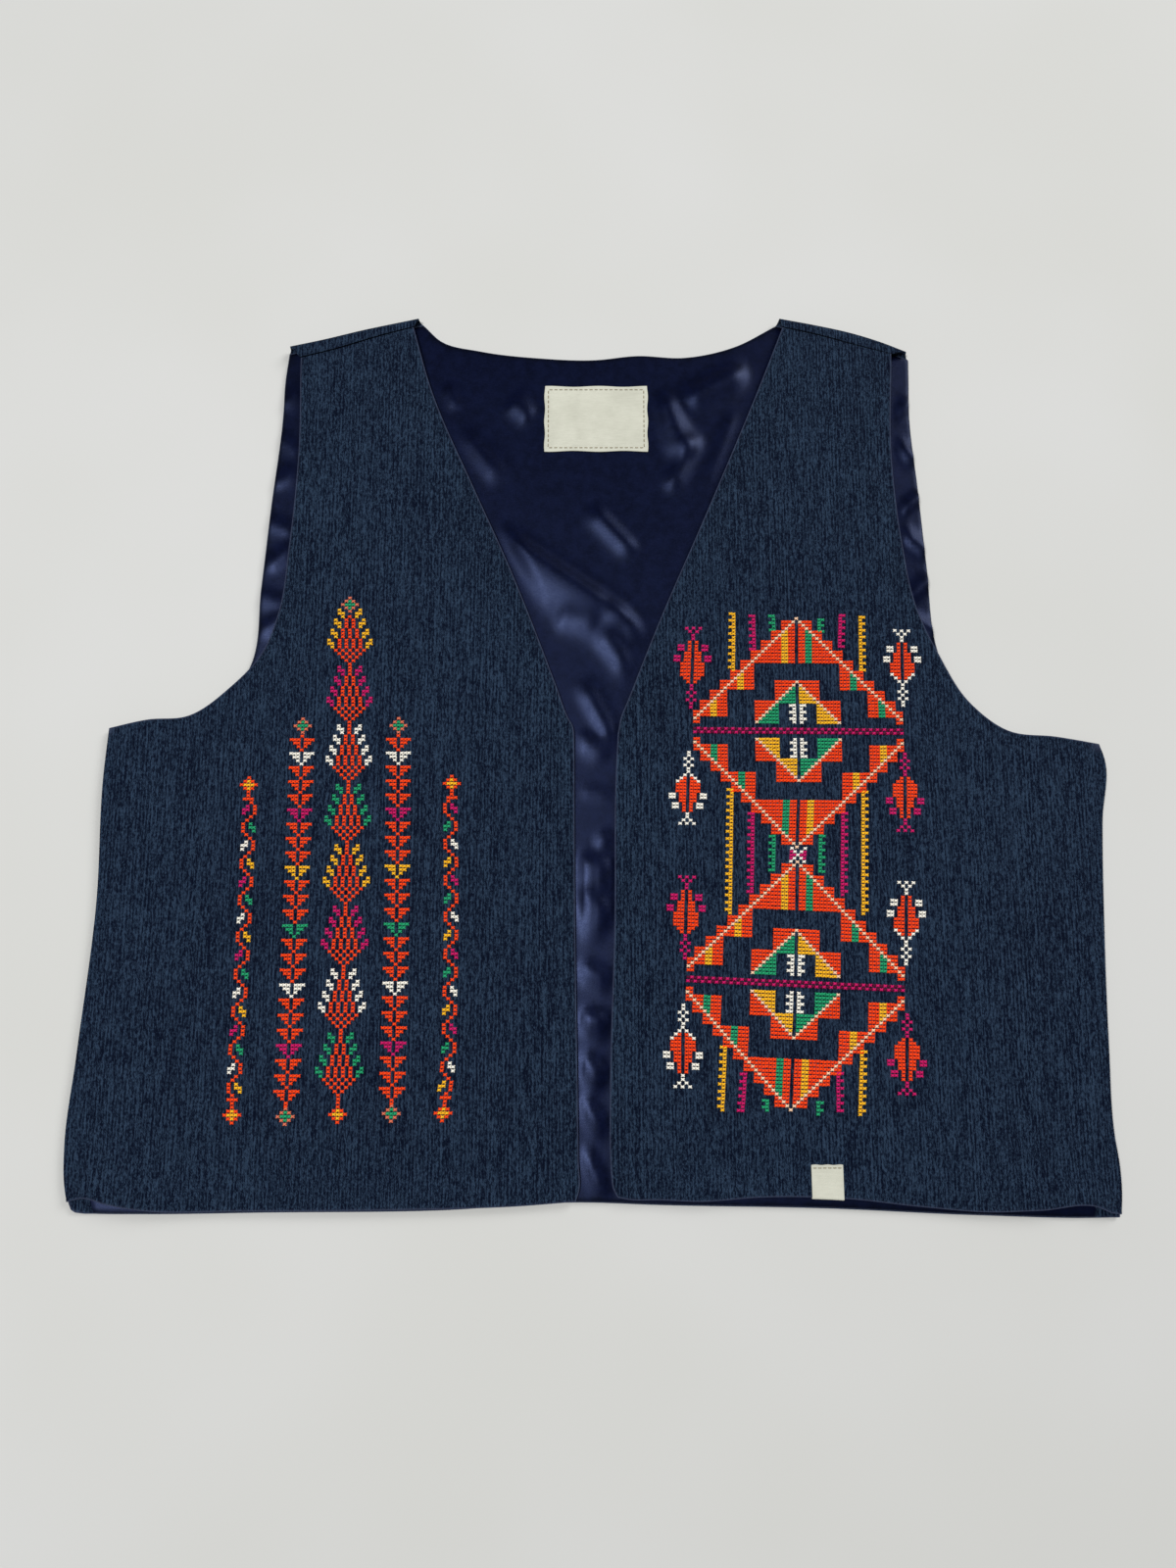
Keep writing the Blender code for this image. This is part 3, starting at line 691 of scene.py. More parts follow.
SATIN = new_material(
    "navy_satin",
    satin_group(),
    {"Dark": screen_colour(1, 4, 16), "Light": screen_colour(8, 15, 42)},
    0.30,
    0.12,
    {"Specular IOR Level": 0.30, "Specular Tint": (0.36, 0.48, 1.0, 1.0)},
    (("Rim", "rim"),),
)


def make_lining(edges):
    """The satin, laid out from the back's own edges a little inside them."""
    left, right = edges[:2]
    armhole = line_length(smooth_line(BACK_RIGHT_ARMHOLE))
    least_length = min(knot.y for knot in BACK_NECK) - max(knot.y for knot in BACK_HEM)
    trim = LINING_INSET / least_length
    spans = [np.linspace(*span)[:-1] for span in LINING_SPANS]
    across = np.concatenate(spans + [[1.0]])
    upward = np.linspace(0.0, 1.0, LINING_ROWS)
    row = trim + upward * (1.0 - 2 * trim)
    past_underarm = np.maximum(row - WAIST, 0.0) / (1.0 - WAIST) * armhole
    inset = np.maximum(LINING_INSET, LINING_SIDE_INSET - past_underarm)
    start = (inset / np.linalg.norm(right(row) - left(row), axis=1))[:, None]
    u = start + across[None, :] * (1.0 - 2 * start)
    v = np.repeat(row[:, None], len(across), axis=1)
    plan = panel_points(edges, u, v)
    x, y = plan[..., 0], plan[..., 1]
    points = np.stack((x, y, lining_top(x, y)), axis=-1).reshape(-1, 3)
    # The rim is a band along the satin's edges, which the satin paints darker as shade.
    rim = bell(distance_to(points[:, :2], outline_of(edges)), 2.2)
    outline = np.vstack((plan[0], plan[:, -1], plan[-1, ::-1], plan[::-1, 0]))
    faces = grid_faces(*u.shape)
    piece = make_cloth("back_lining_satin", points, faces, LINING_WALL, -1, (SATIN,), rim)
    return piece, flat_area(outline)


lining, lining_area = make_lining(back_panel)
stand_for(lining, "back_lining")

# The two fronts are cut from the same denim and lined with the same satin, which is turned in
# at the neck, the centre and the armholes, so that those edges are rolled. They lie on the
# back lining, rise to the shoulder seams and stand a little open at the corners of the hem.
FRONT_WALL = 1.6
FRONT_TOP = 4.4
SIDE_DROP = 0.4
SHOULDER_REACH = 62.0
FRONT_COLUMNS = 78
BEAD_HEIGHT = 0.16
BEAD_INSET = 0.8
GROOVE_DEPTH = 0.24
GROOVE_INSET = 2.1
EDGE_WIDTH = 0.6

RIGHT_ARMHOLE = knots(
    (-271.3, 5.9), (-249.9, 10.7), (-228.3, 12.6), (-205.3, 29.1), (-187.8, 49.7), (-180.8, 69.4),
    (-176.1, 112.8), (-173.2, 168.5), (-173.7, 226.7),
)
RIGHT_HEM = knots(
    (-275.7, -245.1), (-267.1, -243.0), (-254.7, -245.8), (-234.5, -249.0), (-182.3, -249.4),
    (-101.8, -248.7), (-41.3, -247.0), (-12.4, -244.8),
)
LEFT_ARMHOLE = knots(
    (276.3, -3.1), (252.3, 0.8), (226.6, 4.3), (205.9, 20.4), (190.0, 47.8), (179.4, 74.0),
    (172.8, 114.0), (169.2, 164.5), (171.1, 229.2),
)
LEFT_HEM = knots(
    (9.4, -242.7), (14.6, -243.7), (31.9, -243.9), (51.0, -244.6), (83.9, -242.4), (127.3, -243.3),
    (165.7, -247.3), (202.2, -249.9), (226.0, -248.9), (258.6, -247.9), (263.4, -250.2),
    (269.4, -251.1),
)

Lift = namedtuple("Lift", "x y reach_x reach_y height")
RIGHT_LIFTS = (
    Lift(-247.3, -250.5, 26.0, 20.0, 3.0),
    Lift(-124.3, -252.5, 60.0, 26.0, 0.8),
    Lift(-62.3, 127.5, 16.0, 70.0, 0.9),
    Lift(-180.3, 59.5, 20.0, 44.0, 1.0),
)
LEFT_LIFTS = (
    Lift(240.0, -252.5, 30.0, 22.0, 2.8),
    Lift(73.7, -248.5, 44.0, 22.0, 1.6),
    Lift(253.7, 5.5, 15.0, 14.0, 0.9),
    Lift(57.7, 123.5, 16.0, 66.0, 0.9),
    Lift(185.7, 51.5, 22.0, 40.0, 1.0),
)

# Faint ridges that the iron left in the fronts, in the columns of the satin's folds.
RIGHT_CREASES = (
    Fold(-258.0, -20.0, -232.0, -70.0, 16.0, 20.0, 0.35),
    Fold(-214.0, -214.0, -150.0, -232.0, 14.0, 18.0, 0.35),
    Fold(-60.0, -40.0, -44.0, -170.0, 22.0, 16.0, 0.30),
    Fold(-150.0, 190.0, -112.0, 120.0, 18.0, 22.0, 0.35),
    Fold(-228.0, -4.0, -200.0, -30.0, 12.0, 16.0, 0.30),
)
LEFT_CREASES = (
    Fold(256.0, -30.0, 240.0, -110.0, 16.0, 18.0, 0.35),
    Fold(190.0, -222.0, 252.0, -206.0, 14.0, 16.0, 0.40),
    Fold(36.0, -30.0, 30.0, -160.0, 12.0, 16.0, 0.30),
    Fold(150.0, 196.0, 112.0, 116.0, 20.0, 18.0, 0.35),
    Fold(214.0, -12.0, 196.0, 10.0, 10.0, 14.0, 0.30),
)


def front_top(x, y):
    """The height of the outer face of a front."""
    side = side_share(x, y)
    left = np.interp(x, left_seam[:, 0], left_seam[:, 1]) - y
    right = np.interp(x, right_seam[:, 0], right_seam[:, 1]) - y
    rise = smoothstep(1.0 - np.where(x < 0, right, left) / SHOULDER_REACH)
    height = FRONT_TOP - SIDE_DROP * side + (SHOULDER_TOP - FRONT_TOP) * rise
    for lifts, creases, here in (
        (RIGHT_LIFTS, RIGHT_CREASES, x < 0),
        (LEFT_LIFTS, LEFT_CREASES, x >= 0),
    ):
        for lift in lifts:
            away = ((x - lift.x) / lift.reach_x) ** 2 + ((y - lift.y) / lift.reach_y) ** 2
            height = height + lift.height * np.exp(-away) * (1.0 - side) * here
        for crease in creases:
            height = height + fold_height(crease, x, y) * (1.0 - side) * here
    return height


def level_with(line, other, share):
    """The points as far up a line as shares along another line lie up that one."""
    risen = (along(other, share)[..., 1] - other[0][1]) / (other[-1][1] - other[0][1])
    y = line[0][1] + risen * (line[-1][1] - line[0][1])
    return np.stack((np.interp(y, line[:, 1], line[:, 0]), y), axis=-1)


def make_front(name, edges, side, armhole, free_edges):
    """A front from its outer face down, with a bead and a groove along its rolled edges."""
    rows = panel_rows(line_length(side), line_length(armhole))
    u, v = panel_grid(edges, rows, FRONT_COLUMNS)
    plan = panel_points(edges, u, v)
    x, y = plan[..., 0].ravel(), plan[..., 1].ravel()
    gap = np.minimum.reduce([distance_to(plan.reshape(-1, 2), line) for line in free_edges])
    bead = BEAD_HEIGHT * bell(gap - BEAD_INSET, EDGE_WIDTH)
    groove = GROOVE_DEPTH * bell(gap - GROOVE_INSET, EDGE_WIDTH)
    points = np.column_stack((x, y, front_top(x, y) + (bead - groove)))
    faces = grid_faces(*u.shape)
    # bell(gap, 0.5) is the rim: a thin band along the free edges that the denim paints as a highlight.
    piece = make_cloth(name, points, faces, FRONT_WALL, -1, (DENIM, SATIN), bell(gap, 0.5))
    piece.modifiers["Cloth wall"].material_offset_rim = 0
    return piece


def dress_front(piece, node, edges):
    """What the frame is told of a front: its body and the solid it replaces. The area it is cut to is
    worked out but not used.
    """
    stand_for(piece, node)
    flat_area(outline_of(edges))


right_armhole = smooth_line(RIGHT_ARMHOLE)
left_armhole = smooth_line(LEFT_ARMHOLE)
right_hem = smooth_line(RIGHT_HEM)
left_hem = smooth_line(LEFT_HEM)
right_panel = (
    side_edge(right_side, partial(along, right_armhole)),
    side_edge(smooth_line(RIGHT_CENTRE), partial(level_with, smooth_line(RIGHT_NECK), right_armhole)),
    partial(along, right_hem),
    partial(along, right_seam),
)
left_panel = (
    side_edge(smooth_line(LEFT_CENTRE), partial(level_with, smooth_line(LEFT_NECK), left_armhole)),
    side_edge(left_side, partial(along, left_armhole)),
    partial(along, left_hem),
    partial(along, left_seam),
)
right_front = make_front(
    "right_front_denim", right_panel, right_side, right_armhole, (right_armhole, right_opening, right_hem)
)
left_front = make_front(
    "left_front_denim", left_panel, left_side, left_armhole, (left_armhole, left_opening, left_hem)
)
dress_front(right_front, "front_right", right_panel)
dress_front(left_front, "front_left", left_panel)

# The neck label is a cream cotton patch, woven plain and sewn to the lining along its four
# edges with a brown thread. It is left blank. It gives a little with the satin below it.
LABEL_WALL = 0.6
STITCH_INSET = 2.2
STITCH_LENGTH = 2.1
STITCH_STEP = 3.0
THREAD_SIDES = 5
LEG_SHARES = np.array((0.0, 0.25, 0.75, 1.0))
# The leg shades paint each leg darker towards its two ends: painted shade where the thread dives into the
# cloth.
LEG_END_PAINTED_SHADE = np.array((0.15, 1.0, 1.0, 0.15))
LEG_FULLNESS = np.array((0.62, 1.0, 1.0, 0.62))
LEG_RINGS = len(LEG_SHARES)
TWIST_RATE = 11.0
TWIST_LEAN = 1.6
LABEL_GAP = 0.25


def plain_weave_group():
    """Plain cotton weave: warp and weft of one weight, with thick places in both."""
    group, given, made = new_group(
        "cotton_plain_weave", (("Dark", "Color"), ("Light", "Color"), ("Rim", "Float"))
    )
    warp = cloth_wave(group, "X", 0.55, 1.4)
    weft = cloth_wave(group, "Y", 0.55, 1.4)
    slubs = cloth_noise(group, (0.25, 1.4, 1.0), 3.0)
    stains = between(group, cloth_noise(group, (0.06, 0.06, 0.05), 2.0), 0.3, 0.7)
    share = weighed(group, (warp, 0.2), (weft, 0.2), (slubs, 0.5), (stains, 0.25))
    colour = blended(group, share, given.outputs["Dark"], given.outputs["Light"])
    height = weighed(group, (warp, 0.4), (weft, 0.4), (slubs, 0.5))
    rough = weighed(group, (slubs, 0.1), (given.outputs["Rim"], 0.05))
    return put_out(group, made, colour, height, rough, 0.78)


LABEL = new_material(
    "cream_cotton",
    plain_weave_group(),
    {"Dark": screen_colour(168, 168, 153), "Light": screen_colour(210, 210, 195)},
    0.4,
    0.15,
    {"Specular IOR Level": 0.2, "Sheen Weight": 0.1},
    (("Rim", "rim"),),
)


def floss_group():
    """Cotton thread: plies that wind round it, a tone that changes from stitch to stitch, and painted
    shade towards the Shadow colour at the ends of each leg.
    """
    group, given, made = new_group(
        "cotton_floss",
        (("Shadow", "Color"), ("Thread", "Color"), ("Twist", "Float"), ("Shade", "Float")),
    )
    ply = group.nodes.new("ShaderNodeMath")
    ply.operation = "SINE"
    group.links.new(given.outputs["Twist"], ply.inputs[0])
    fibres = cloth_noise(group, (4.0, 4.0, 4.0), 2.0)
    share = weighed(group, (ply.outputs["Value"], 0.14), (given.outputs["Shade"], 1.0), (fibres, 0.3))
    colour = blended(group, share, given.outputs["Shadow"], given.outputs["Thread"])
    height = weighed(group, (ply.outputs["Value"], 0.6), (fibres, 0.3))
    return put_out(group, made, colour, height, weighed(group, (fibres, 0.25)), 0.42)


FLOSS = floss_group()


def thread_material(name, colour, shadow=0.10):
    """A thread's material from its colour in full light."""
    deep = tuple(value * shadow for value in colour[:3]) + (1.0,)
    return new_material(
        name,
        FLOSS,
        {"Shadow": deep, "Thread": colour},
        0.5,
        0.10,
        {"Specular IOR Level": 0.15, "Sheen Weight": 0.02, "Sheen Roughness": 0.4},
        (("Twist", "twist"), ("Shade", "shade")),
    )


def thread_legs(starts, ends, floor, arch, half_width, half_height, shades):
    """Points, faces and two values a point for straight stitches that arch over the cloth."""
    count = len(starts)
    run = ends - starts
    length = np.linalg.norm(run, axis=1, keepdims=True)
    aside = np.column_stack((-run[:, 1], run[:, 0])) / length
    turn = 2 * math.pi * (np.arange(THREAD_SIDES) + 0.25) / THREAD_SIDES
    plan = starts[:, None, :] + LEG_SHARES[None, :, None] * run[:, None, :]
    middle = floor(plan[..., 0], plan[..., 1]) + arch
    wide = (half_width * LEG_FULLNESS)[None, :, None] * np.cos(turn)[None, None, :]
    high = (half_height * LEG_FULLNESS)[None, :, None] * np.sin(turn)[None, None, :]
    points = np.empty((count, LEG_RINGS, THREAD_SIDES, 3))
    points[..., :2] = plan[:, :, None, :] + wide[..., None] * aside[:, None, None, :]
    points[..., 2] = middle[:, :, None] + high
    ring = np.arange(THREAD_SIDES)
    bands = np.arange(LEG_RINGS - 1)[:, None] * THREAD_SIDES
    near = bands + ring[None, :]
    far = bands + np.roll(ring, -1)[None, :]
    walls = np.stack((near, far, far + THREAD_SIDES, near + THREAD_SIDES), axis=-1).reshape(-1, 4)
    first = (np.arange(count) * LEG_RINGS * THREAD_SIDES)[:, None, None]
    caps = np.stack((ring[::-1], ring + (LEG_RINGS - 1) * THREAD_SIDES))
    twist = LEG_SHARES[None, :, None] * length[:, :, None] * TWIST_RATE
    twist = twist + np.cos(turn)[None, None, :] * TWIST_LEAN
    # Each point's shade is the stitch's tone times the painted shade at the leg's ends.
    shade = (shades[:, None] * np.repeat(LEG_END_PAINTED_SHADE, THREAD_SIDES)[None, :]).ravel()
    faces = [(first + walls[None]).reshape(-1, 4), (first + caps[None]).reshape(-1, THREAD_SIDES)]
    return points.reshape(-1, 3), faces, twist.ravel(), shade


def make_thread(name, legs, materials):
    """One piece of all the stitches given, each group of legs with the material at its place."""
    points, faces, indices, twists, shades = [], [], [], [], []
    count = 0
    for index, (place, sides, twist, shade) in enumerate(legs):
        for part in sides:
            faces.extend((part + count).tolist())
            indices.extend([index] * len(part))
        points.append(place)
        twists.append(twist)
        shades.append(shade)
        count += len(place)
    mesh = bpy.data.meshes.new(name)
    mesh.from_pydata((np.vstack(points) * MM).tolist(), [], faces)
    mesh.polygons.foreach_set("material_index", indices)
    # The shade attribute carries each stitch's tone and the painted shade at its leg ends.
    for label, values in (("twist", twists), ("shade", shades)):
        flat = np.concatenate(values).astype(np.float32)
        mesh.attributes.new(label, "FLOAT", "POINT").data.foreach_set("value", flat)
    mesh.shade_smooth()
    for material in materials:
        mesh.materials.append(material)
    piece = add_object(name, mesh)
    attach(piece, "root")
    return piece


def running_stitches(corners, length, step):
    """The two ends of each stitch of a seam along straight runs between corners."""
    starts, ends = [], []
    for here, there in zip(corners[:-1], corners[1:]):
        run = np.subtract(there, here)
        size = np.linalg.norm(run)
        count = round(size / step)
        for k in range(count):
            middle = here + run * (k + 0.5) / count
            starts.append(middle - run / size * length / 2)
            ends.append(middle + run / size * length / 2)
    return np.array(starts), np.array(ends)


def neck_label_top(x, y):
    """The height of the label's upper face."""
    return lining_top(x, y) + LABEL_GAP + LABEL_WALL


def make_neck_label():
    """The label, its edges a little wavy where the thread draws them in."""
    u, v = np.meshgrid(np.linspace(0.0, 1.0, 61), np.linspace(0.0, 1.0, 42))
    x = LABEL_CORNER.x + u * LABEL_SIZE.x + 0.25 * np.sin(17.0 * v) * (2 * u - 1)
    y = LABEL_CORNER.y + v * LABEL_SIZE.y + 0.30 * np.sin(13.0 * u + 1.0) * (2 * v - 1)
    edge = np.minimum(np.minimum(u, 1 - u) * LABEL_SIZE.x, np.minimum(v, 1 - v) * LABEL_SIZE.y)
    dip = 0.18 * bell(edge - STITCH_INSET, 0.9)
    points = np.stack((x, y, neck_label_top(x, y) - dip), axis=-1).reshape(-1, 3)
    rim = bell(edge, 1.0).ravel()
    faces = grid_faces(*u.shape)
    return make_cloth("neck_label_cotton", points, faces, LABEL_WALL, -1, (LABEL,), rim)


neck_label = make_neck_label()
stand_for(neck_label, "neck_label")

low = np.array(LABEL_CORNER) + STITCH_INSET
high = np.array(LABEL_CORNER) + np.array(LABEL_SIZE) - STITCH_INSET
label_corners = [
    np.array((x, y)) for x, y in (low, (high[0], low[1]), high, (low[0], high[1]), low)
]
BROWN = thread_material("brown_sewing_thread", screen_colour(158, 142, 112))
STITCH_ARCH = np.array((-0.22, 0.03, 0.03, -0.22))
STITCH_HALF_WIDTH = 0.22
STITCH_HALF_HEIGHT = 0.15
STITCH_SHADE = 0.6


def sew_down(name, corners, step, top):
    """The brown stitches that hold a label, along straight runs between corners."""
    starts, ends = running_stitches(corners, STITCH_LENGTH, step)
    shades = np.full(len(starts), STITCH_SHADE)
    size = (STITCH_HALF_WIDTH, STITCH_HALF_HEIGHT)
    make_thread(name, [thread_legs(starts, ends, top, STITCH_ARCH, *size, shades)], [BROWN])


sew_down("neck_label_stitches", label_corners, STITCH_STEP, neck_label_top)

# The hem label is a strip of the same cotton folded over the hem of the left front and caught
# with one row of stitches near its head. It is left blank too.
HEM_LABEL_LEFT = 109.7
HEM_LABEL_WIDTH = 16.6
HEM_LABEL_HEAD = -226.3
HEM_LABEL_END = 3.0
HEM_LABEL_REACH = 0.9
HEM_STITCH_SIDE = 0.6
HEM_STITCH_DROP = 1.6
HEM_STITCH_STEP = 2.6


def make_hem_label():
    """The strip from its end under the hem, round the hem and up to its head."""
    columns = np.linspace(0.0, 1.0, 18)
    x = HEM_LABEL_LEFT + columns * HEM_LABEL_WIDTH
    hem = np.interp(x, left_hem[:, 0], left_hem[:, 1])
    rows = [np.column_stack((x, hem - HEM_LABEL_REACH, np.full(len(x), HEM_LABEL_END)))]
    for turn in np.linspace(0.0, math.pi / 2, 8):
        y = hem - HEM_LABEL_REACH * math.cos(turn)
        rows.append(np.column_stack((x, y, front_top(x, hem) + HEM_LABEL_REACH * math.sin(turn))))
    for share in np.linspace(0.0, 1.0, 22)[1:]:
        y = hem + share * (HEM_LABEL_HEAD - hem) + 0.15 * np.sin(share * 9.0 + x)
        lift = HEM_LABEL_REACH - 0.12 * bell(share - 0.92, 0.05)
        rows.append(np.column_stack((x, y, front_top(x, y) + lift)))
    points = np.stack(rows)
    length = line_length(points[:, 0, 1:])
    faces = grid_faces(*points.shape[:2])
    points = points.reshape(-1, 3)
    rim = np.zeros(len(points))
    piece = make_cloth("hem_label_cotton", points, faces, LABEL_WALL, -1, (LABEL,), rim)
    return piece, length


hem_label, hem_label_length = make_hem_label()
stand_for(hem_label, "hem_label")
hem_corners = [
    np.array((HEM_LABEL_LEFT + HEM_STITCH_SIDE, HEM_LABEL_HEAD - HEM_STITCH_DROP)),
    np.array((HEM_LABEL_LEFT + HEM_LABEL_WIDTH - HEM_STITCH_SIDE, HEM_LABEL_HEAD - HEM_STITCH_DROP)),
]


def hem_label_top(x, y):
    """The height of the hem label's upper face."""
    return front_top(x, y) + HEM_LABEL_REACH


sew_down("hem_label_stitches", hem_corners, HEM_STITCH_STEP, hem_label_top)

# The embroidery is cross-stitch in cotton floss: two legs over each square of the count, the
# second always leaning the same way. A stitch is a column and a row of its motif, and a motif
# is laid out from a start point, with the steps that one column and one row take.
Shade = namedtuple("Shade", "red green blue")
FLOSSES = {
    "o": ("orange_red_floss", Shade(255, 74, 24)),
    "y": ("yellow_floss", Shade(255, 190, 40)),
    "g": ("green_floss", Shade(40, 160, 108)),
    "m": ("magenta_floss", Shade(205, 28, 102)),
    "d": ("plum_floss", Shade(92, 14, 50)),
    "w": ("off_white_floss", Shade(255, 250, 236)),
    "p": ("pale_floss", Shade(255, 212, 176)),
    "s": ("salmon_floss", Shade(222, 116, 88)),
}
LETTERS = "oygmdwps"
floss_materials = [
    thread_material(name, screen_colour(*shade))
    for name, shade in (FLOSSES[letter] for letter in LETTERS)
]
UNDER_ARCH = np.array((-0.22, 0.18, 0.18, -0.22))
OVER_ARCH = np.array((-0.22, 0.56, 0.56, -0.22))
FLOSS_HALF_WIDTH = 0.42
FLOSS_HALF_HEIGHT = 0.26
REACH_ACROSS = 1.16
REACH_DOWN = 0.80
SHADE_RANGE = (0.85, 1.15)
MIDDLE_SCATTER = 0.05
LEG_SCATTER = 0.04

Stitch = namedtuple("Stitch", "column row colour")
Layout = namedtuple("Layout", "knots rows across slope")
draw = np.random.default_rng(7)


def mirrored(chart, row=0):
    """The stitches of a chart that gives one half of each row, from the middle outwards."""
    found = []
    for k, line in enumerate(chart):
        for column, colour in enumerate(line):
            if colour != ".":
                found.append(Stitch(column, row + k, colour))
                if column:
                    found.append(Stitch(-column, row + k, colour))
    return found


def recoloured(stitches, swaps):
    """The same stitches with some of their colours changed."""
    return [stitch._replace(colour=swaps.get(stitch.colour, stitch.colour)) for stitch in stitches]


def laid_out(stitches, layout):
    """Where the stitches lie on the cloth: middles and both steps, and their colours."""
    cells = np.array([(stitch.column, stitch.row) for stitch in stitches], float)
    line = smooth_line(layout.knots)
    share = cells[:, 1] / layout.rows
    near = np.clip(share, 0.0, 1.0 - FOLD_STEP)
    run = (along(line, near + FOLD_STEP) - along(line, near)) / FOLD_STEP
    across = np.array((layout.across, layout.across * layout.slope))
    middles = along(line, near) + (share - near)[:, None] * run + cells[:, :1] * across
    steps = np.stack((np.tile(across, (len(cells), 1)), run / layout.rows), axis=1)
    return middles, steps, [stitch.colour for stitch in stitches]


def embroider(name, motifs):
    """One piece of thread for a group of motifs, with a material for each colour in it."""
    middles = np.vstack([motif[0] for motif in motifs])
    steps = np.vstack([motif[1] for motif in motifs])
    colours = np.array([colour for motif in motifs for colour in motif[2]])
    middles = middles + draw.normal(0.0, MIDDLE_SCATTER, middles.shape)
    used = [letter for letter in LETTERS if (colours == letter).any()]
    legs, materials = [], []
    for letter in used:
        mine = colours == letter
        middle, step = middles[mine], steps[mine]
        for lean, arch in ((1.0, UNDER_ARCH), (-1.0, OVER_ARCH)):
            shades = draw.uniform(*SHADE_RANGE, len(middle))
            half = (step[:, 0] * lean * REACH_ACROSS + step[:, 1] * REACH_DOWN) / 2
            wobble = draw.normal(0.0, LEG_SCATTER, half.shape)
            ends = (middle - half + wobble, middle + half + wobble)
            size = (FLOSS_HALF_WIDTH, FLOSS_HALF_HEIGHT)
            legs.append(thread_legs(*ends, front_top, arch, *size, shades))
            materials.append(floss_materials[LETTERS.index(letter)])
    return make_thread(name, legs, materials)


# The right front's five columns: a tall one of flames in the middle, one of leaf pairs on each
# side of it, and a winding vine with buds outside those. They end in small stars.
PITCH = 1.95
STAR = ("o", "co", "cco", "co", "o")
LEAF_PAIR = (".xxx", ".xx", ".x", "x")
LEAF_COLOURS = "owooomoooyooogooowooomooo"
FLAME_REACH = (0, 0, 0, 0, 1, 1, 1, 2, 2, 2, 3, 3, 3, 4, 3, 2, 1)
FLAME_COLOURS = "ymwgymwg"
FLAME_ROWS = len(FLAME_REACH)
VINE_SWING = (2, 2, 2, 1, 0, -1, -1, -1, 0, 1)
BUD_COLOURS = "mgwy" * 4
FLAME_LINE_ROWS = 141
LEAF_LINE_ROWS = 106.5
VINE_LINE_ROWS = 89


def star(centre, row):
    """A small star about a row: salmon round a green middle, or orange-red round a yellow one."""
    arms = "s" if centre == "g" else "o"
    return recoloured(mirrored(STAR, row - 2), {"c": centre, "o": arms})


def flame(first, fringe, stem_from=0):
    """A flame of open lattice, narrow above and wide below, with four buds on each side."""
    found = []
    for k, reach in enumerate(FLAME_REACH):
        if k >= stem_from:
            found += [Stitch(column, first + k, "o") for column in range(-reach, reach + 1, 2)]
    for bud in range(4):
        row = first + 1 + 3 * bud
        for column, below in ((3, 0), (3, 1), (2, 1), (2, 2)):
            for side in (-1, 1):
                found.append(Stitch(side * (column + bud), row + below, fringe))
    return found


def flame_column():
    """Eight flames from a star at the top to a star below a short stem."""
    found = star("g", -0.6)
    for k, fringe in enumerate(FLAME_COLOURS):
        found += flame(k * FLAME_ROWS, fringe, 3 if k == 0 else 0)
    end = len(FLAME_COLOURS) * FLAME_ROWS
    found += [Stitch(0, end + k, "o") for k in range(3)]
    return found + star("y", end + 5)


def leaf_column():
    """Leaf pairs, one below another, between two stars."""
    found = star("g", 0) + [Stitch(0, 3, "o")]
    for k, colour in enumerate(LEAF_COLOURS):
        found += recoloured(mirrored(LEAF_PAIR, 4 + 4 * k), {"x": colour})
    end = 4 + 4 * len(LEAF_COLOURS)
    return found + [Stitch(0, end, "o")] + star("g", end + 2.5)


def vine_column(side):
    """A vine that winds between two stars, with a bud in each of its bends."""
    found = star("y", 0) + [Stitch(0, 3, "o")] + [Stitch(k, 4, "o") for k in (-1, 0, 1)]
    found.append(Stitch(side, 5, "o"))
    rows = 5 * len(BUD_COLOURS)
    for k in range(rows - 1):
        found.append(Stitch(side * VINE_SWING[k % len(VINE_SWING)], 6 + k, "o"))
    for k, colour in enumerate(BUD_COLOURS):
        near, far = (0, -1) if k % 2 == 0 else (1, 2)
        for column, below in ((near, 0), (near, 1), (far, 1), (far, 2)):
            found.append(Stitch(side * column, 6 + 5 * k + below, colour))
    found += [Stitch(k, 5 + rows, "o") for k in (-1, 0, 1)] + [Stitch(0, 6 + rows, "o")]
    return found + star("y", 9 + rows)


FLAME_LINE = knots(
    (-140.2, 75.8), (-138.7, 29.7), (-137.6, -20.0), (-136.9, -71.5), (-136.5, -105.8),
    (-136.8, -150.0), (-137.0, -201.2),
)
LEAF_LINES = (
    knots((-163.9, 7.0), (-163.6, -70.0), (-163.6, -121.0), (-164.3, -202.2)),
    knots((-110.9, 7.2), (-109.4, -69.0), (-108.8, -121.0), (-108.9, -200.7)),
)
VINE_LINES = (
    knots((-192.1, -26.2), (-192.2, -142.0), (-192.9, -180.0), (-192.2, -201.5)),
    knots(
        (-80.8, -25.4), (-80.2, -43.0), (-78.8, -95.0), (-78.5, -142.0), (-79.2, -180.0), (-81.8, -200.4)
    ),
)
for name, columns, lines, rows in (
    ("right_front_flame_column", (flame_column(),), (FLAME_LINE,), FLAME_LINE_ROWS),
    ("right_front_leaf_columns", (leaf_column(), leaf_column()), LEAF_LINES, LEAF_LINE_ROWS),
    ("right_front_vine_columns", (vine_column(1), vine_column(-1)), VINE_LINES, VINE_LINE_ROWS),
):
    layouts = [Layout(line, rows, PITCH, 0.0) for line in lines]
    embroider(name, [laid_out(*motif) for motif in zip(columns, layouts)])

# The left front's two great diamonds. Each is a ring of stepped blocks crossed by a pale line
# and striped, round a smaller stepped diamond, with a magenta line across the middle.
DIAMOND_WIDTH = 30
LINE_ROW = 32
STEP = 3
TIP_COLUMNS = 4
Block = namedtuple("Block", "last_column last_row stripe")
BLOCKS = (Block(12, 12, 3), Block(20, 20, 16), Block(28, 28, 24), Block(DIAMOND_WIDTH, 30, None))
INNER_TOP = 18
INNER_WIDTH = 12
INNER_LAST_ROW = 30
BAR_ROW = 25
DIAMOND_PITCH = 1.905


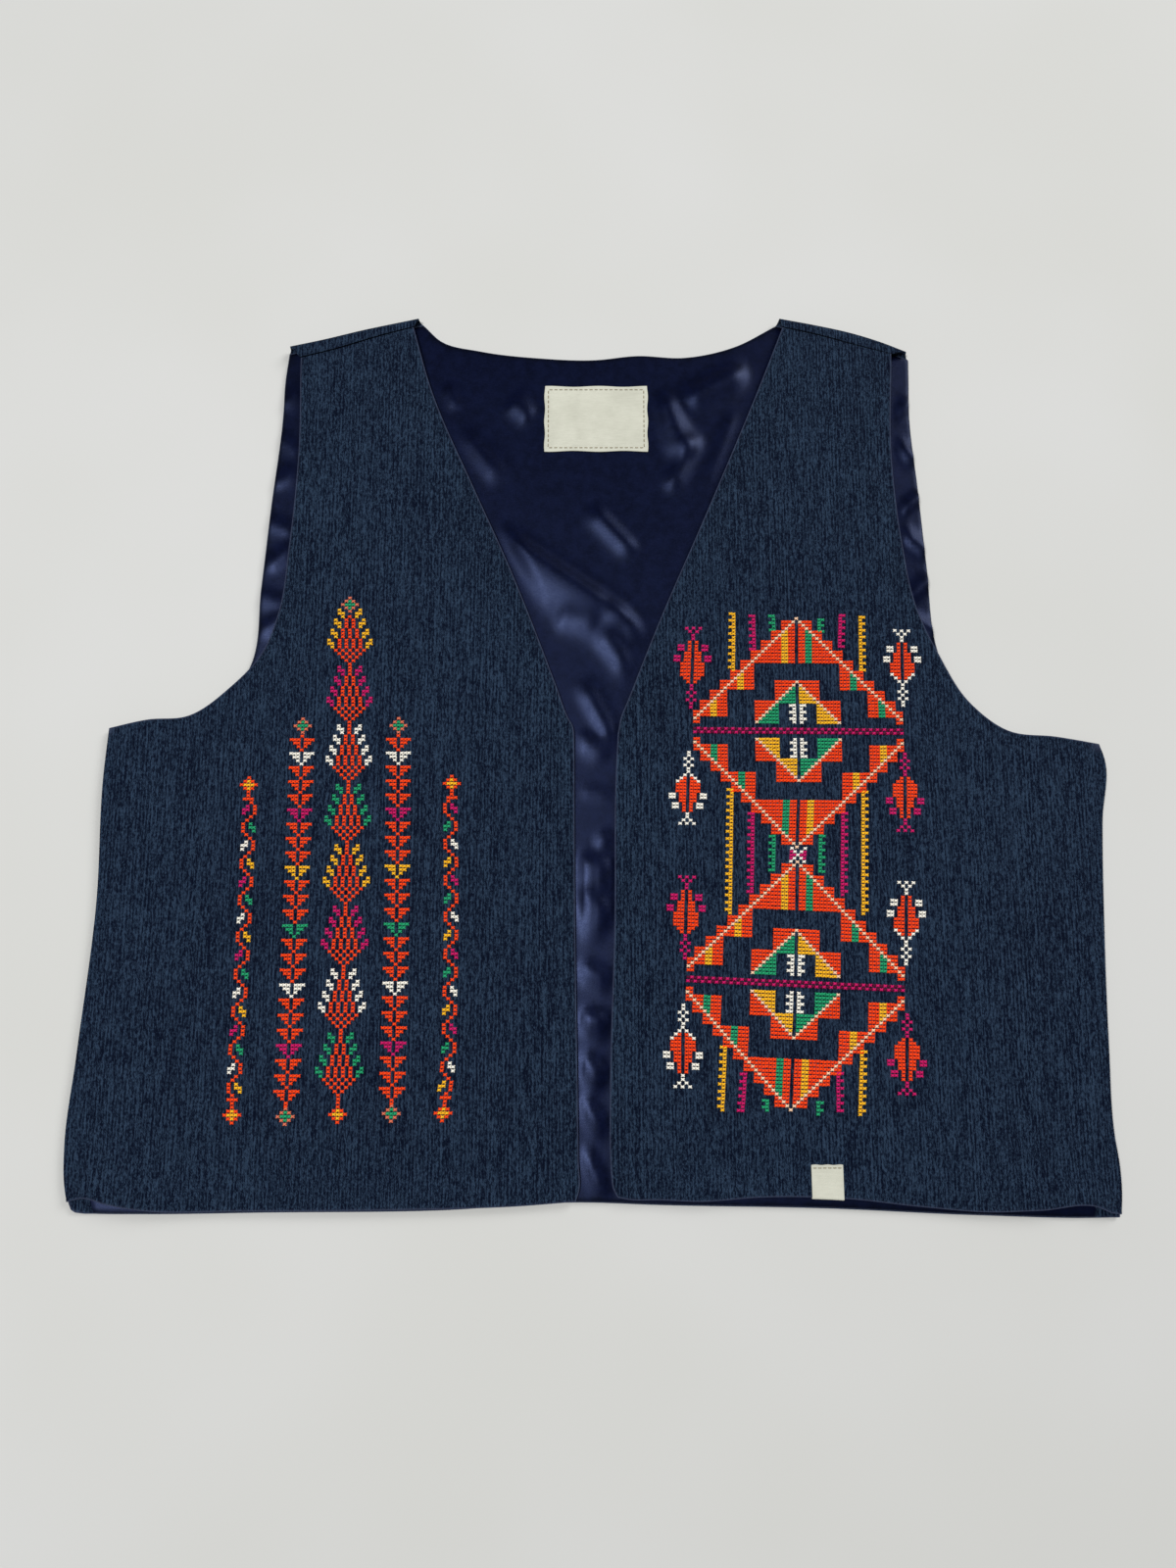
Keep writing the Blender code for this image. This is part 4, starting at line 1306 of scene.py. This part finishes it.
def ring_quarter(stripe_colour):
    """A quarter of the outer ring, from the apex outwards and down."""
    found = []
    for column in range(1, DIAMOND_WIDTH + 1):
        block = next(block for block in BLOCKS if column <= block.last_column)
        top = 0 if column <= TIP_COLUMNS else STEP * math.ceil((column - TIP_COLUMNS) / STEP)
        for row in range(top, block.last_row + 1):
            striped = block.stripe is not None and column - block.stripe in (0, 1)
            if row == column - 1:
                colour = "p"
            elif striped and row >= column:
                colour = stripe_colour
            else:
                colour = "o"
            found.append(Stitch(column, row, colour))
    return found


def inner_quarter(fill):
    """A quarter of the inner diamond: blocks, a pale line, a filled triangle and a white bar."""
    found = []
    for column in range(1, INNER_WIDTH + 1):
        top = INNER_TOP if column <= INNER_WIDTH // 2 else INNER_TOP + INNER_WIDTH // 2
        pale = INNER_TOP + column
        for row in range(top, INNER_LAST_ROW + 1):
            if row < pale:
                found.append(Stitch(column, row, "o"))
            elif row == pale:
                found.append(Stitch(column, row, "p"))
            elif column > 5 or row < BAR_ROW:
                found.append(Stitch(column, row, fill))
            elif column == 1 or column == 2 and (row - BAR_ROW) % 2 == 0:
                found.append(Stitch(column, row, "w"))
    return found


def diamond():
    """A whole diamond, its quarters turned about the middle column and the middle row."""
    found = []
    for flip, left, right in ((False, "yg", "gy"), (True, "gy", "yg")):
        rows = [Stitch(0, -1, "p"), Stitch(0, INNER_TOP, "p")]
        for side, (stripe, fill) in ((-1, left), (1, right)):
            quarter = ring_quarter(stripe) + inner_quarter(fill)
            rows += [stitch._replace(column=side * stitch.column) for stitch in quarter]
        if flip:
            rows = [stitch._replace(row=2 * LINE_ROW + 1 - stitch.row) for stitch in rows]
        found += rows
    for column in range(-DIAMOND_WIDTH, DIAMOND_WIDTH + 1):
        for below in (0, 1):
            colour = "m" if (column + below) % 2 else "d"
            found.append(Stitch(column, LINE_ROW + below, colour))
    return found


def knot_between():
    """The small cross of white and magenta that joins the two diamonds."""
    found = []
    for column in range(-2, 3):
        for row in range(-2, 3):
            if abs(column) == abs(row):
                found.append(Stitch(column, row, "w"))
            elif abs(column) > abs(row):
                found.append(Stitch(column, row, "m"))
    return found


DIAMOND_ROWS = 66
UPPER_LINE = knots(
    (111.2, 66.8), (110.4, 32.0), (110.3, 4.6), (109.8, -23.9), (107.6, -60.4),
)
LOWER_LINE = knots(
    (107.5, -70.6), (105.4, -117.0), (103.7, -148.0), (101.0, -185.0), (100.0, -198.8),
)
for name, line, slope in (
    ("left_front_upper_diamond", UPPER_LINE, -0.008),
    ("left_front_lower_diamond", LOWER_LINE, -0.045),
):
    embroider(name, [laid_out(diamond(), Layout(line, DIAMOND_ROWS, DIAMOND_PITCH, slope))])

# Round the diamonds stand eight flowers, each with two buds a side, and thin upright lines of
# yellow, magenta and green that run on from one diamond to the next.
FLOWER = (
    "a.a", ".a", "a", "a",
    ".o", ".o.aa", ".o.aa",
    ".oo", ".oo.aa", ".oo.aa",
    ".ooo", ".ooo", ".ooo", ".oov", ".ov", ".v",
    "a", "a", ".a", "a", ".a", "a", "a",
)
Flower = namedtuple("Flower", "colour tip_x tip_y foot_x foot_y slope")
FLOWERS = (
    Flower("m", 53.3, 63.1, 51.1, 17.6, -0.02),
    Flower("w", 169.9, 61.5, 168.9, 18.5, -0.02),
    Flower("w", 48.0, -47.6, 49.6, -8.0, -0.02),
    Flower("m", 166.9, -51.5, 168.6, -9.0, -0.02),
    Flower("m", 47.5, -76.8, 45.8, -120.1, -0.03),
    Flower("w", 166.2, -79.8, 164.0, -123.4, -0.03),
    Flower("w", 43.7, -187.1, 44.6, -144.9, -0.03),
    Flower("m", 161.3, -190.7, 163.3, -150.0, -0.03),
)
Line = namedtuple("Line", "colour x0 y0 x1 y1 tooth")
LINES = (
    Line("y", 75.1, 71.5, 74.1, 38.6, -1),
    Line("y", 148.1, 69.6, 147.3, 38.9, 1),
    Line("m", 86.2, 70.3, 86.1, 51.0, -1),
    Line("m", 137.0, 70.7, 135.9, 52.5, 1),
    Line("g", 97.3, 70.3, 97.6, 62.1, -1),
    Line("g", 125.0, 68.1, 124.8, 61.4, 1),
    Line("y", 71.9, -28.9, 69.5, -96.2, -1),
    Line("y", 145.8, -30.1, 143.1, -96.5, 1),
    Line("m", 83.1, -42.1, 81.5, -84.7, -1),
    Line("m", 134.2, -41.9, 132.3, -86.5, 1),
    Line("g", 94.3, -54.6, 93.5, -73.0, -1),
    Line("g", 121.5, -54.4, 120.6, -73.8, 1),
    Line("y", 65.5, -166.8, 63.4, -198.8, -1),
    Line("y", 139.5, -169.1, 137.3, -201.2, 1),
    Line("m", 75.8, -180.6, 73.9, -199.2, -1),
    Line("m", 126.6, -180.2, 125.9, -199.2, 1),
    Line("g", 87.0, -194.1, 86.7, -199.0, -1),
    Line("g", 115.5, -195.2, 115.3, -201.0, 1),
)


def flower_motif(flower):
    """One flower, upright or hanging, laid from its tip to its foot."""
    body = {"a": flower.colour, "v": "w" if flower.colour == "w" else "o"}
    stitches = recoloured(mirrored(FLOWER), body)
    knots = (Knot(flower.tip_x, flower.tip_y), Knot(flower.foot_x, flower.foot_y))
    return laid_out(stitches, Layout(knots, len(FLOWER) - 1, DIAMOND_PITCH, flower.slope))


def line_motif(line):
    """An upright line: one full column, and a tooth beside every second stitch of it."""
    rows = max(round(math.hypot(line.x1 - line.x0, line.y1 - line.y0) / DIAMOND_PITCH), 1)
    stitches = [Stitch(-0.5 * line.tooth, row, line.colour) for row in range(rows + 1)]
    stitches += [Stitch(0.5 * line.tooth, row, line.colour) for row in range(0, rows + 1, 2)]
    knots = (Knot(line.x0, line.y0), Knot(line.x1, line.y1))
    return laid_out(stitches, Layout(knots, rows, DIAMOND_PITCH, -0.025))


embroider("left_front_flowers", [flower_motif(flower) for flower in FLOWERS])
knot_layout = Layout((Knot(108.0, -64.8), Knot(107.8, -66.6)), 1, 1.8, -0.02)
embroider(
    "left_front_lines", [line_motif(line) for line in LINES] + [laid_out(knot_between(), knot_layout)]
)

# The table is a plain pale board under soft studio light: a lamp almost overhead, a little to
# the wearer's right, a broad one low beyond the neck and a dim room. The camera stands over
# the hem and looks a little towards the neck.
TABLE_SIZE = 4.0
TABLE_DROP = 0.25
ROOM_COLOUR = (0.94, 0.97, 1.0, 1.0)
ROOM_STRENGTH = 0.16
CAMERA_PLACE = (-6.02, -137.74, 640.12)
CAMERA_TILT = 10.0
Lamp = namedtuple("Lamp", "name x y z size power")
LAMPS = (
    Lamp("overhead_lamp", -0.95, -0.15, 2.8, 0.8, 68.0),
    Lamp("neck_side_lamp", 2.0, 1.7, 1.9, 1.5, 58.0),
)


def make_table():
    """The board that the vest lies on."""
    half = TABLE_SIZE / 2
    mesh = bpy.data.meshes.new("pale_table")
    drop = -TABLE_DROP * MM
    corners = [(-half, -half, drop), (half, -half, drop), (half, half, drop), (-half, half, drop)]
    mesh.from_pydata(corners, [], [(0, 1, 2, 3)])
    material = bpy.data.materials.new("pale_board")
    material.use_nodes = True
    tree = material.node_tree
    shader = tree.nodes["Principled BSDF"]
    light = tree.nodes.new("ShaderNodeRGB")
    dark = tree.nodes.new("ShaderNodeRGB")
    light.outputs[0].default_value = (0.600, 0.600, 0.585, 1.0)
    dark.outputs[0].default_value = (0.580, 0.580, 0.555, 1.0)
    grain = between(tree, cloth_noise(tree, (0.004, 0.004, 0.004), 2.0), 0.3, 0.7)
    colour = blended(tree, grain, dark.outputs[0], light.outputs[0])
    tree.links.new(colour, shader.inputs["Base Color"])
    shader.inputs["Roughness"].default_value = 0.85
    shader.inputs["Specular IOR Level"].default_value = 0.2
    mesh.materials.append(material)
    add_object("pale_table", mesh)


def add_lamp(lamp):
    """A square lamp that faces the middle of the vest."""
    light = bpy.data.lights.new(lamp.name, "AREA")
    light.size = lamp.size
    light.energy = lamp.power
    holder = add_object(lamp.name, light)
    holder.location = (lamp.x, lamp.y, lamp.z)
    aim = -holder.location
    holder.rotation_euler = aim.to_track_quat("-Z", "Y").to_euler()


make_table()
for lamp in LAMPS:
    add_lamp(lamp)
room = bpy.data.worlds.new("pale_room")
room.use_nodes = True
room.node_tree.nodes["Background"].inputs["Color"].default_value = ROOM_COLOUR
room.node_tree.nodes["Background"].inputs["Strength"].default_value = ROOM_STRENGTH
bpy.context.scene.world = room
bpy.context.scene.view_settings.view_transform = "Standard"

lens = bpy.data.cameras.new("overhead_camera")
lens.lens = 27.0
lens.sensor_width = 36.0
lens.clip_start = 0.01
camera = add_object("overhead_camera", lens)
camera.location = [value * MM for value in CAMERA_PLACE]
camera.rotation_euler = (math.radians(CAMERA_TILT), 0.0, 0.0)
bpy.context.scene.camera = camera
